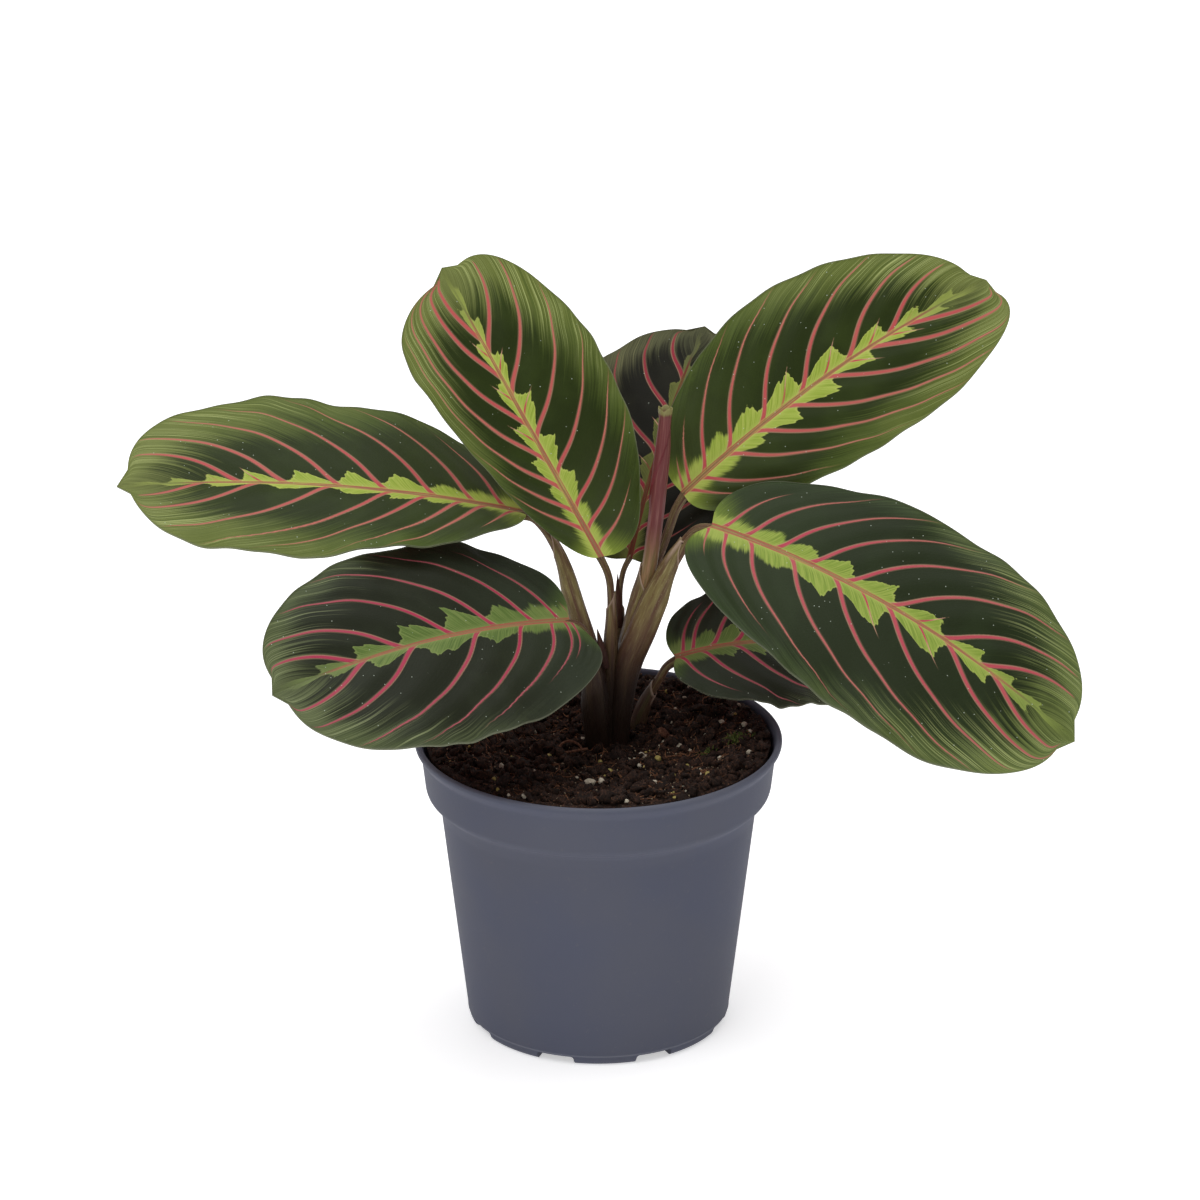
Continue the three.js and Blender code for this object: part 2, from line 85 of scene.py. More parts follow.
class Form:
    """Gathers the triangles of one piece, in millimetres, with the numbers painted on their corners."""

    def __init__(self, mark_names: Sequence[str] = ()) -> None:
        """Starts an empty form.

        Args:
            mark_names: The names of the corner values that every part of the form carries.
        """
        self.mark_names = tuple(mark_names)
        self.points: list[np.ndarray] = []
        self.faces: list[np.ndarray] = []
        self.finishes: list[np.ndarray] = []
        self.marks: dict[str, list[np.ndarray]] = {name: [] for name in self.mark_names}
        self.count = 0

    def add(self, points: np.ndarray, faces: np.ndarray, marks: Marks | None = None,
            finish: int | np.ndarray = 0) -> None:
        """Adds one closed skin, turned to face outward.

        Args:
            points: Its points, one row each.
            faces: Its triangles, as rows of three point numbers.
            marks: For each mark name, a (triangles, 3, 3) array of corner values.
            finish: The material index, for the whole skin or for each triangle.
        """
        marks = marks or {}
        a, b, c = (points[faces[:, i]] for i in range(3))
        if np.einsum("ij,ij->", a - points.mean(0), np.cross(b - a, c - a)) < 0:
            faces = faces[:, ::-1]
            marks = {name: values[:, ::-1] for name, values in marks.items()}
        self.points.append(points)
        self.faces.append(faces + self.count)
        self.finishes.append(np.broadcast_to(finish, len(faces)))
        for name in self.mark_names:
            self.marks[name].append(marks.get(name, np.zeros((len(faces), 3, 3))))
        self.count += len(points)

    def add_rings(self, rings: np.ndarray, marks: Marks | None = None) -> None:
        """Skins rings of points into a closed body with a fan at either end.

        Args:
            rings: A (rings, sides, 3) array of points.
            marks: For each mark name, a (rings, sides + 1, 3) array, whose last column ends the turn.
        """
        rows, sides, _ = rings.shape
        index = np.arange(rows * sides).reshape(rows, sides)
        i, j = cell_numbers(rows - 1, sides)
        turn = np.arange(sides)
        after = (turn + 1) % sides
        tops = np.full(sides, rows * sides)
        faces = [cell_triangles(index, i, j, after[j]),
                 np.stack([tops, index[0, after], index[0, turn]], 1),
                 np.stack([tops + 1, index[-1, turn], index[-1, after]], 1)]
        points = np.concatenate([rings.reshape(-1, 3), [rings[0].mean(0), rings[-1].mean(0)]])
        painted = {}
        for name, grid in (marks or {}).items():
            first = np.stack([grid[0, turn], grid[0, turn + 1], grid[0, turn]], 1)
            last = np.stack([grid[-1, turn], grid[-1, turn], grid[-1, turn + 1]], 1)
            painted[name] = np.concatenate([cell_triangles(grid, i, j, j + 1), first, last])
        self.add(points, np.concatenate(faces), painted)

    def build(self, name: str, slot: str, materials: Sequence[bpy.types.Material],
              stands_for: Sequence[str] = ()) -> bpy.types.Object:
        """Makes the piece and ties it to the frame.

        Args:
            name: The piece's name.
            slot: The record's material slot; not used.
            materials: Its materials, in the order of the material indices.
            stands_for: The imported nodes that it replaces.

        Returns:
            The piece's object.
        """
        mesh = bpy.data.meshes.new(name)
        points, faces = np.concatenate(self.points) * MM, np.concatenate(self.faces)
        mesh.vertices.add(len(points))
        mesh.vertices.foreach_set("co", points.astype(np.float32).ravel())
        mesh.loops.add(faces.size)
        mesh.loops.foreach_set("vertex_index", faces.astype(np.int32).ravel())
        mesh.polygons.add(len(faces))
        mesh.polygons.foreach_set("loop_start", np.arange(0, faces.size, 3, dtype=np.int32))
        mesh.polygons.foreach_set("material_index", np.concatenate(self.finishes).astype(np.int32))
        mesh.polygons.foreach_set("use_smooth", np.ones(len(faces), bool))
        mesh.update(calc_edges=True)
        for mark, parts in self.marks.items():
            layer = mesh.attributes.new(mark, "FLOAT_VECTOR", "CORNER")
            layer.data.foreach_set("vector", np.concatenate(parts).astype(np.float32).ravel())
        for material in materials:
            mesh.materials.append(material)
        piece = bpy.data.objects.new(name, mesh)
        bpy.context.scene.collection.objects.link(piece)
        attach(piece, "root")
        if stands_for:
            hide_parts(*stands_for)
        LOG.info("%s: %d triangles", name, len(faces))
        return piece


def unit(rows: np.ndarray) -> np.ndarray:
    """The same directions with a length of 1."""
    return rows / np.maximum(np.linalg.norm(rows, axis=-1, keepdims=True), 1e-12)


def ease(low: float, high: float, value: np.ndarray | float) -> np.ndarray:
    """A smooth step from 0 at low to 1 at high."""
    share = np.clip((np.asarray(value, float) - low) / (high - low), 0, 1)
    return share * share * (3 - 2 * share)


def full_turn(sides: int) -> np.ndarray:
    """Even angles around a ring, from 0."""
    return np.linspace(0, 2 * np.pi, sides, endpoint=False)


@dataclass(frozen=True)
class Curve:
    """A number that changes in straight runs between given places."""

    places: tuple[float, ...]
    values: tuple[float, ...]

    def at(self, spots: np.ndarray) -> np.ndarray:
        """The number at some spots."""
        return np.interp(spots, self.places, self.values)


def through(stations: Sequence[Sequence[float]], spots: np.ndarray) -> np.ndarray:
    """A smooth line through stations.

    Args:
        stations: Points, with any further numbers that run along with them.
        spots: Places along the line, from 0 at its first station to 1 at its last.

    Returns:
        One row for each spot.
    """
    rows = np.asarray(stations, float)
    knots = np.concatenate([[0], np.cumsum(np.linalg.norm(np.diff(rows[:, :3], axis=0), axis=1))])
    slopes = np.gradient(rows, knots, axis=0)
    at = np.clip(spots, 0, 1) * knots[-1]
    cell = np.clip(np.searchsorted(knots, at, side="right") - 1, 0, len(knots) - 2)
    step = (knots[cell + 1] - knots[cell])[..., None]
    t = (at - knots[cell])[..., None] / step
    return ((2 * t**3 - 3 * t**2 + 1) * rows[cell] + (t**3 - 2 * t**2 + t) * step * slopes[cell]
            + (3 * t**2 - 2 * t**3) * rows[cell + 1] + (t**3 - t**2) * step * slopes[cell + 1])


def length_of(stations: Sequence[Sequence[float]]) -> float:
    """The length of the straight runs between stations."""
    return float(np.linalg.norm(np.diff(np.asarray(stations, float)[:, :3], axis=0), axis=1).sum())


def carried_frames(centres: np.ndarray, first: Point) -> tuple[np.ndarray, np.ndarray]:
    """Two directions across a line that turn with it and never twist about it.

    Args:
        centres: The line's points.
        first: The direction that the first frame faces.

    Returns:
        The facing and the sideways direction at each point.
    """
    along = unit(np.gradient(centres, axis=0))
    facing = np.empty_like(centres)
    carried = np.asarray(first, float)
    for i, direction in enumerate(along):
        carried = unit(carried - direction * (carried @ direction))
        facing[i] = carried
    return facing, np.cross(along, facing)


def around(facing: np.ndarray, aside: np.ndarray, angle: np.ndarray) -> np.ndarray:
    """The directions at these angles around each frame of a line."""
    return facing[:, None] * np.cos(angle)[None, :, None] + aside[:, None] * np.sin(angle)[None, :, None]


# Materials


def linear(colour: Paint) -> tuple[float, float, float, float]:
    """A colour that is given as it shows on a screen, 0 to 255, in the shader's linear numbers."""
    shares = [x / 255 for x in colour]
    return (*[x / 12.92 if x <= 0.04045 else ((x + 0.055) / 1.055) ** 2.4 for x in shares], 1.0)


class Signal:
    """A number or colour that runs from one shader node to the next."""

    def __init__(self, graph: "Graph", socket: bpy.types.NodeSocket) -> None:
        """Holds the socket that the signal comes out of."""
        self.graph = graph
        self.socket = socket

    def __add__(self, other: "Signal | float") -> "Signal":
        """The sum."""
        return self.graph.math("ADD", self, other)

    def __sub__(self, other: "Signal | float") -> "Signal":
        """The difference."""
        return self.graph.math("SUBTRACT", self, other)

    def __rsub__(self, other: float) -> "Signal":
        """The difference from a plain number."""
        return self.graph.math("SUBTRACT", other, self)

    def __mul__(self, other: "Signal | float") -> "Signal":
        """The product."""
        return self.graph.math("MULTIPLY", self, other)

    def __truediv__(self, other: "Signal | float") -> "Signal":
        """The quotient."""
        return self.graph.math("DIVIDE", self, other)

    def size(self) -> "Signal":
        """The number without its sign."""
        return self.graph.math("ABSOLUTE", self)

    def nearest(self) -> "Signal":
        """The nearest whole number."""
        return self.graph.math("ROUND", self)


Feed = Signal | float | tuple[float, ...]


class Graph:
    """A material whose shader nodes are wired by arithmetic on signals."""

    def __init__(self, name: str) -> None:
        """Starts a material with an empty node tree."""
        self.material = bpy.data.materials.new(name)
        self.material.use_nodes = True
        self.tree = self.material.node_tree
        self.tree.nodes.clear()

    def node(self, kind: str, feeds: dict[int | str, Feed], **settings: object) -> bpy.types.Node:
        """Adds a node.

        Args:
            kind: The node's type, without the word ShaderNode.
            feeds: What goes into its sockets, by their number or name.
            settings: The node's own properties.

        Returns:
            The node.
        """
        made = self.tree.nodes.new("ShaderNode" + kind)
        for key, value in settings.items():
            setattr(made, key, value)
        for key, value in feeds.items():
            if isinstance(value, Signal):
                self.tree.links.new(value.socket, made.inputs[key])
            else:
                made.inputs[key].default_value = value
        return made

    def math(self, operation: str, a: Feed, b: Feed = 0.0) -> Signal:
        """A math node's result."""
        return Signal(self, self.node("Math", {0: a, 1: b}, operation=operation).outputs[0])

    def larger(self, a: Feed, b: Feed) -> Signal:
        """The larger of two numbers."""
        return self.math("MAXIMUM", a, b)

    def ease(self, low: Feed, high: Feed, value: Feed) -> Signal:
        """A smooth step from 0 at low to 1 at high, also where low is the larger."""
        made = self.node("MapRange", {"Value": value, "From Min": low, "From Max": high},
                         interpolation_type="SMOOTHSTEP")
        return Signal(self, made.outputs[0])

    def blend(self, ground: Signal | Paint, over: Signal | Paint, share: Signal | float,
              mode: str = "MIX") -> Signal:
        """A ground colour with a share of another colour over it."""
        ground, over = (linear(x) if isinstance(x, tuple) else x for x in (ground, over))
        made = self.node("Mix", {0: share, 6: ground, 7: over}, data_type="RGBA", blend_type=mode)
        return Signal(self, made.outputs[2])

    def vector(self, x: Feed, y: Feed, z: Feed) -> Signal:
        """Three numbers as one place."""
        return Signal(self, self.node("CombineXYZ", {0: x, 1: y, 2: z}).outputs[0])

    def grain(self, place: Signal, scale: float, detail: float = 2.0, rough: float = 0.5) -> Signal:
        """Cloudy noise, 0 to 1."""
        made = self.node("TexNoise", {"Vector": place, "Scale": scale, "Detail": detail,
                                      "Roughness": rough})
        return Signal(self, made.outputs[0])

    def cells(self, place: Signal, scale: float) -> tuple[Signal, Signal]:
        """Scattered points: the distance to the nearest one, and a random number of its own."""
        made = self.node("TexVoronoi", {"Vector": place, "Scale": scale})
        parts = self.node("SeparateColor", {0: Signal(self, made.outputs["Color"])})
        return Signal(self, made.outputs["Distance"]), Signal(self, parts.outputs[0])

    def parts(self, vector: Signal) -> tuple[Signal, Signal, Signal]:
        """A place's three numbers."""
        made = self.node("SeparateXYZ", {0: vector})
        return tuple(Signal(self, socket) for socket in made.outputs)

    def mark(self, name: str) -> tuple[Signal, Signal, Signal]:
        """The three numbers painted on the mesh under this name."""
        made = self.node("Attribute", {}, attribute_name=name, attribute_type="GEOMETRY")
        return self.parts(Signal(self, made.outputs["Vector"]))

    def place(self) -> Signal:
        """The place on the piece, in millimetres."""
        coordinates = Signal(self, self.node("TexCoord", {}).outputs["Object"])
        made = self.node("VectorMath", {0: coordinates, "Scale": 1 / MM}, operation="SCALE")
        return Signal(self, made.outputs[0])

    def finish(self, colour: Signal, roughness: Feed, height: Signal, depth: float,
               gloss: float, **sockets: Feed) -> bpy.types.Material:
        """Ends the material in its surface.

        Args:
            colour: The surface's colour.
            roughness: Its roughness.
            height: Its relief, in shares of depth.
            depth: The relief's depth in millimetres.
            gloss: The specular level.
            sockets: Other constants of the shader, by their names with _ for a space.

        Returns:
            The material.
        """
        bump = self.node("Bump", {"Height": height, "Strength": 1.0, "Distance": depth * MM})
        feeds = {"Base Color": colour, "Roughness": roughness, "Specular IOR Level": gloss,
                 "Normal": Signal(self, bump.outputs[0])}
        feeds.update({name.replace("_", " "): value for name, value in sockets.items()})
        shader = self.node("BsdfPrincipled", feeds)
        self.node("OutputMaterial", {0: Signal(self, shader.outputs[0])})
        return self.material


class Coat:
    """A colour that is laid on in layers."""

    def __init__(self, graph: Graph, ground: Signal | Paint) -> None:
        """Starts with the ground colour."""
        self.graph = graph
        self.colour = ground

    def lay(self, colour: Signal | Paint, share: Signal | float, mode: str = "MIX") -> None:
        """Lays a share of a colour over the layers so far."""
        self.colour = self.graph.blend(self.colour, colour, share, mode)


class BladeMarks:
    """What a blade's painting starts from: the numbers on its mesh, and noises that follow its veins."""

    def __init__(self, graph: Graph) -> None:
        """Reads the numbers and makes the noises."""
        self.graph = graph
        self.phase, self.pitch, self.reach = graph.mark("vein")
        self.u, self.edge, self.rib = graph.mark("spot")
        self.lobe, self.dark_end, self.seed = graph.mark("zone")
        self.between, self.vein_tone, _ = graph.mark("extra")
        self.place = graph.place()
        self.fine = self.strands(34, 0.22, 0)
        self.broad = self.strands(5, 0.12, 7)
        self.thread = self.strands(34, 0.16, 3, detail=1.0)
        self.feather = self.strands(20, 0.1, 11)
        self.cloud = graph.grain(self.place, 0.12, 3.0)

    def strands(self, across: float, along: float, shift: float, detail: float = 2.0) -> Signal:
        """Noise drawn out along the veins.

        Args:
            across: Its steps from one vein to the next.
            along: Its steps in a millimetre away from the midrib.
            shift: What sets it apart from the other noises.
            detail: How many finer layers it has.

        Returns:
            The noise, 0 to 1.
        """
        place = self.graph.vector(self.phase * across, self.rib * along, self.seed + shift)
        return self.graph.grain(place, 1.0, detail)

    def teeth(self, across: float, along: float) -> Signal:
        """Noise for the outline of the lobes, about 0, by its steps between veins and in a millimetre."""
        place = self.graph.vector(self.phase * across, self.seed, self.rib * along)
        return self.graph.grain(place, 1.0, 1.0) - 0.5


@dataclass(frozen=True)
class BladeFinish:
    """The upper side of a blade: a lime band in lobes along the midrib, and red veins on dark green."""

    name: str
    dark: Paint
    dark_base: Paint
    margin: Paint
    haze: Paint
    lime: Paint
    lime_pale: Paint
    vein: Paint
    vein_far: Paint
    streak: Paint
    tip: Paint
    midrib: Paint = (150, 108, 78)
    midrib_edge: Paint = (178, 84, 76)
    fringe: Paint = (196, 150, 124)
    speck: Paint = (196, 206, 190)
    rim: Paint = (124, 126, 106)
    white: Paint = (255, 255, 255)
    gloss: float = 0.16
    wash: float = 0.7

    def material(self) -> bpy.types.Material:
        """Wires the material from the numbers painted on the blade."""
        g = Graph(self.name)
        m = BladeMarks(g)
        coat = self.ground(g, m)
        self.lay_lobes(g, m, coat)
        on_vein = self.lay_veins(g, m, coat)
        on_rib = self.lay_midrib(g, m, coat)
        self.lay_specks(g, m, coat)
        height = m.fine * 0.25 + on_vein * 0.4 - on_rib * 0.3 + g.grain(m.place, 4.0, 2.0) * 0.3
        roughness = 0.5 - on_vein * 0.06 + (m.fine - 0.5) * 0.1
        return g.finish(coat.colour, roughness, height, 0.12, self.gloss)

    def ground(self, g: Graph, m: BladeMarks) -> Coat:
        """The green between the veins: a dark field, paler margins and tip, and pale and dark threads."""
        field = Coat(g, self.dark)
        field.lay(self.dark_base, g.ease(0.42, 0.04, m.u + (m.cloud - 0.5) * 0.2))
        field.lay(self.haze, g.ease(0.42, 0.7, m.cloud) * 0.22)
        toward = m.u * 0.75 + m.edge * 0.3 + (m.cloud - 0.5) * 0.4
        outer = g.blend(self.haze, self.margin, g.ease(0.4, 0.98, toward))
        ragged = m.edge - m.dark_end + (m.feather - 0.5) * 0.5 + (m.broad - 0.5) * 0.25
        beyond = g.ease(-0.17, 0.22, ragged)
        coat = Coat(g, g.blend(field.colour, outer, beyond))
        tip = m.u + (m.feather - 0.5) * 0.35 + (m.broad - 0.5) * 0.2 + (m.cloud - 0.5) * 0.15
        coat.lay(self.tip, g.ease(0.82, 1.0, tip) * 0.8)
        coat.lay(self.streak, (m.thread - 0.5) * 0.3 * beyond)
        outward = g.ease(0.7, 1.0, m.u * 0.75 + m.edge * 0.45) * g.ease(0.2, 0.5, m.u)
        coat.lay(self.haze, g.ease(0.49, 0.38, m.thread) * outward * 0.6)
        lit = g.ease(0.54, 0.6, m.thread) * g.ease(1.02, 0.88, m.edge) * outward
        coat.lay(self.streak, lit * g.ease(0.38, 0.56, m.broad) * 0.9)
        ray = m.strands(24, 0.05, 17)
        coat.lay(self.lime, g.ease(0.15, 0.01, m.u + m.rib * 0.014 + (ray - 0.5) * 0.08) * self.wash)
        return coat

    def lay_lobes(self, g: Graph, m: BladeMarks, coat: Coat) -> None:
        """Lays the lime band, with its toothed lobes, along the midrib."""
        fray = g.ease(0.34, 0.04, m.u)
        toothed = m.lobe + m.teeth(6.5, 0.1) * m.lobe * 0.7
        inside = toothed + m.teeth(40, 0.3) * (fray * 1.5 + 0.25) - m.rib
        soft = fray * 0.6 + 0.07
        lime = Coat(g, self.lime)
        lime.lay(self.lime_pale, g.ease(0.42, 0.66, m.fine) * 0.55)
        lime.lay(self.haze, g.ease(0.46, 0.3, m.fine) * 0.25)
        lime.lay(self.lime_pale, g.ease(1.2, 0.3, m.rib) * 0.4)
        lime.lay(self.lime_pale, g.ease(0.3, 0.06, inside) * (1.0 - fray) * 0.6)
        lime.lay(self.lime_pale, g.ease(0.2, 0.02, m.u) * 0.5)
        lime.lay(self.tip, g.ease(0.72, 0.92, m.u) * 0.6)
        coat.lay(lime.colour, g.ease(soft * -1.0, soft, inside) * g.ease(1.0, 0.92, m.u))

    def lay_veins(self, g: Graph, m: BladeMarks, coat: Coat) -> Signal:
        """Lays the veins with their pale fringes.

        Args:
            g: The material's graph.
            m: The blade's numbers.
            coat: What they are laid on.

        Returns:
            1 on a vein and 0 beside it.
        """
        off = m.phase - m.phase.nearest()
        dist = off.size() * m.pitch
        wide = g.larger((1.0 - m.reach) * 0.24 + 0.075, 0.045)
        shown = g.ease(1.08, 0.88, m.reach)
        base_side = g.ease(0.02, -0.02, off)
        fringe = g.ease(wide + 0.26, wide, dist) * (base_side * 0.35 + 0.3) * shown
        coat.lay(self.fringe, fringe * g.ease(1.0, 0.3, m.reach))
        second = m.phase - 0.5
        second_dist = (second - second.nearest()).size() * m.pitch
        inner = g.ease(m.lobe * 1.05, 0.0, m.rib)
        thin = inner * 0.1 + 0.03
        second_shown = g.ease(m.lobe * 1.35, m.lobe * 0.9, m.rib) * m.between
        second_tone = g.blend(self.fringe, self.vein, g.ease(0.1, 0.7, inner))
        coat.lay(second_tone, g.ease(thin + 0.07, thin, second_dist) * second_shown)
        vein = Coat(g, self.vein)
        vein.lay(self.vein_far, g.ease(0.3, 1.0, m.reach))
        vein.lay(self.vein_far, m.vein_tone * 0.3)
        vein.lay(self.fringe, g.ease(0.5, 0.7, m.fine) * 0.12)
        on_vein = g.ease(wide + 0.05, wide - 0.06, dist) * shown
        coat.lay(vein.colour, on_vein)
        return on_vein

    def lay_midrib(self, g: Graph, m: BladeMarks, coat: Coat) -> Signal:
        """Lays the midrib, which narrows toward the tip.

        Args:
            g: The material's graph.
            m: The blade's numbers.
            coat: What it is laid on.

        Returns:
            1 on the midrib and 0 beside it.
        """
        half = (1.0 - m.u) * 0.34 + 0.1
        on_rib = g.ease(half + 0.08, half - 0.05, m.rib)
        tone = Coat(g, self.midrib)
        tone.lay(self.midrib_edge, g.ease(0.3, 0.8, m.rib / half) * 0.8)
        strand = g.grain(g.vector(m.rib * 7, m.u * 6, m.seed + 23), 1.0, 2.0)
        tone.lay(self.lime_pale, g.ease(0.5, 0.64, strand) * 0.5)
        tone.lay(self.tip, g.ease(0.8, 0.9, m.u))
        beside = g.ease(half + 0.3, half + 0.08, m.rib) * g.ease(0.9, 0.7, m.u)
        coat.lay(self.lime_pale, beside * 0.5)
        coat.lay(tone.colour, on_rib * (g.ease(1.0, 0.85, m.u) * 0.7 + 0.3))
        return on_rib

    def lay_specks(self, g: Graph, m: BladeMarks, coat: Coat) -> None:
        """Lays pale specks, the thin pale rim and a faint unevenness over everything."""
        near, chance = g.cells(m.place, 1.2)
        coat.lay(self.speck, g.ease(0.12, 0.06, near) * g.ease(0.82, 0.86, chance) * 0.8)
        coat.lay(self.rim, g.ease(0.982, 0.998, m.edge) * 0.5)
        coat.lay(self.white, (g.grain(m.place, 0.5, 3.0) - 0.5) * 0.1, "SOFT_LIGHT")


@dataclass(frozen=True)
class UndersideFinish:
    """The wine-red underside of a blade."""

    name: str = "blade_underside"
    wine: Paint = (104, 40, 50)
    olive: Paint = (84, 70, 48)
    vein: Paint = (140, 66, 76)

    def material(self) -> bpy.types.Material:
        """Wires the material."""
        g = Graph(self.name)
        phase, pitch, _ = g.mark("vein")
        _, _, seed = g.mark("zone")
        _, _, rib = g.mark("spot")
        place = g.place()
        fine = g.grain(g.vector(phase * 30, rib * 0.2, seed), 1.0, 2.0)
        cloud = g.grain(place, 0.1, 3.0)
        coat = Coat(g, self.wine)
        coat.lay(self.olive, g.ease(0.45, 0.75, cloud + (fine - 0.5) * 0.3) * 0.45)
        coat.lay(self.olive, g.ease(3.5, 0.5, rib) * 0.4)
        on_vein = g.ease(0.3, 0.12, (phase - phase.nearest()).size() * pitch)
        coat.lay(self.vein, on_vein * 0.6)
        height = on_vein * 0.6 + fine * 0.3 + g.grain(place, 4.0, 2.0) * 0.3
        return g.finish(coat.colour, 0.55, height, 0.12, 0.16)


@dataclass(frozen=True)
class StemFinish:
    """A stalk or a sheath: brown and olive fibres, with painted shade that darkens them toward the soil."""

    name: str
    brown: Paint
    olive: Paint
    pale: Paint
    # The darkest colour of the painted shade near the soil.
    painted_shade: Paint
    membrane: Paint = (186, 160, 142)
    olive_share: float = 0.5
    # The heights in millimetres where the painted shade is full and where it fades out.
    full_shade_height: float = 54.0
    shade_top_height: float = 71.0

    def material(self) -> bpy.types.Material:
        """Wires the material from the numbers painted on the stem."""
        g = Graph(self.name)
        down, turn, rim = g.mark("stem")
        x, y, z = g.parts(g.place())
        fibres = g.grain(g.vector(turn * 46, down * 0.3, z * 0.02), 1.0, 3.0, 0.6)
        bands = g.grain(g.vector(turn * 7, down * 0.06, 3.0), 1.0, 2.0)
        less = self.olive_share * 0.35
        coat = Coat(g, self.brown)
        coat.lay(self.olive, g.ease(0.56 - less, 0.84 - less, bands))
        coat.lay(self.pale, g.ease(0.52, 0.7, fibres) * 0.4)
        coat.lay(self.brown, g.ease(0.48, 0.34, fibres) * 0.45)
        dots, _ = g.cells(g.vector(x, y, z * 0.4), 2.6)
        coat.lay(self.pale, g.ease(0.16, 0.08, dots) * 0.35)
        coat.lay(self.membrane, g.ease(0.75, 0.1, rim + (fibres - 0.5) * 0.5) * 0.85)
        # Painted shade: brown and then the darkest colour are laid over the lower part, fuller toward the
        # soil, with a ragged edge.
        height = z + (bands - 0.5) * 12
        coat.lay(self.brown, g.ease(self.shade_top_height + 6, self.shade_top_height - 8, height) * 0.7)
        coat.lay(self.painted_shade, g.ease(self.shade_top_height, self.full_shade_height, height) * 0.92)
        return g.finish(coat.colour, (fibres - 0.5) * 0.2 + 0.5, fibres, 0.22, 0.25)


@dataclass(frozen=True)
class RollFinish:
    """The rolled leaf: rose above, tan and olive below, with a thin dark-red seam."""

    name: str = "rolled_leaf"
    rose: Paint = (104, 50, 50)
    rose_pale: Paint = (128, 80, 74)
    tan: Paint = (156, 120, 88)
    olive: Paint = (124, 104, 66)
    seam: Paint = (104, 34, 40)
    tip: Paint = (134, 128, 80)

    def material(self) -> bpy.types.Material:
        """Wires the material from the numbers painted on the roll."""
        g = Graph(self.name)
        down, turn, seam = g.mark("stem")
        _, _, z = g.parts(g.place())
        fibres = g.grain(g.vector(turn * 18, down * 0.1, 1.0), 1.0, 3.0, 0.6)
        low = g.blend(self.olive, self.tan, g.ease(0.4, 0.6, fibres))
        high = g.blend(self.rose, self.rose_pale, g.ease(0.45, 0.7, fibres))
        coat = Coat(g, g.blend(low, high, g.ease(77.0, 86.0, z + (fibres - 0.5) * 6)))
        coat.lay(self.seam, g.ease(0.3, 0.06, seam) * 0.8)
        coat.lay(self.tip, g.ease(103.5, 104.2, z + (fibres - 0.5) * 1.2))
        return g.finish(coat.colour, 0.48, fibres, 0.15, 0.25)


@dataclass(frozen=True)
class GritFinish:
    """A mottled matte surface, such as peat, bark, moss or perlite."""

    name: str
    low: Paint
    mid: Paint
    high: Paint
    scale: float = 1.5
    relief: float = 0.05
    roughness: float = 0.9

    def material(self) -> bpy.types.Material:
        """Wires the material."""
        g = Graph(self.name)
        place = g.place()
        cloud = g.grain(place, self.scale * 0.35, 3.0)
        grit = g.grain(place, self.scale * 2.2, 4.0, 0.65)
        coat = Coat(g, self.low)
        coat.lay(self.mid, g.ease(0.38, 0.62, grit))
        coat.lay(self.high, g.ease(0.6, 0.72, grit) * 0.8)
        coat.lay(self.low, g.ease(0.5, 0.36, cloud) * 0.7)
        return g.finish(coat.colour, self.roughness, grit, self.relief, 0.25)


@dataclass(frozen=True)
class PotFinish:
    """Matte moulded plastic with a faint grain, a little dust and a painted highlight along the top of its
    rim.
    """

    name: str = "pot_plastic"
    body: Paint = (81, 84, 99)
    warm: Paint = (84, 86, 98)
    dust: Paint = (106, 104, 104)
    # Paler grey for the painted highlight along the rim's top and for the line round the foot.
    pale_line: Paint = (124, 127, 137)
    lip_from: float = 48.3
    top: float = 49.0
    foot_line: float = 1.75

    def material(self) -> bpy.types.Material:
        """Wires the material."""
        g = Graph(self.name)
        place = g.place()
        x, y, z = g.parts(place)
        cloud = g.grain(place, 0.05, 3.0)
        flow = g.grain(g.vector(x * 0.6, y * 0.6, z * 0.04), 1.0, 2.0)
        grain = g.grain(place, 7.0, 3.0, 0.6)
        coat = Coat(g, self.body)
        coat.lay(self.warm, g.ease(0.35, 0.65, cloud))
        coat.lay(self.body, (flow - 0.5) * 0.5)
        near, chance = g.cells(place, 0.55)
        coat.lay(self.dust, g.ease(0.06, 0.03, near) * g.ease(0.72, 0.76, chance) * 0.6)
        # Painted highlight: the top of the rim is laid paler.
        coat.lay(self.pale_line, g.ease(self.lip_from, self.top, z) * 0.25)
        # A pale line round the small ridge at the foot.
        coat.lay(self.pale_line, g.ease(0.22, 0.05, (z - self.foot_line).size()) * 0.4)
        coat.lay(self.dust, g.ease(0.62, 0.7, g.grain(place, 0.9, 4.0, 0.7)) * 0.18)
        return g.finish(coat.colour, grain * 0.1 + 0.54, grain * 0.7 + flow * 0.5, 0.035, 0.08)


@dataclass(frozen=True)
class BackdropFinish:
    """The plain white sweep that the plant stands on."""

    name: str = "white_sweep"
    white: Paint = (250, 250, 250)
    shade: Paint = (246, 246, 247)
    glow: float = 0.5

    def material(self) -> bpy.types.Material:
        """Wires the material."""
        g = Graph(self.name)
        grain = g.grain(g.place(), 0.02, 2.0)
        return g.finish(g.blend(self.white, self.shade, grain), 0.9, grain, 0.01, 0.1,
                        Emission_Color=(1.0, 1.0, 1.0, 1.0), Emission_Strength=self.glow)


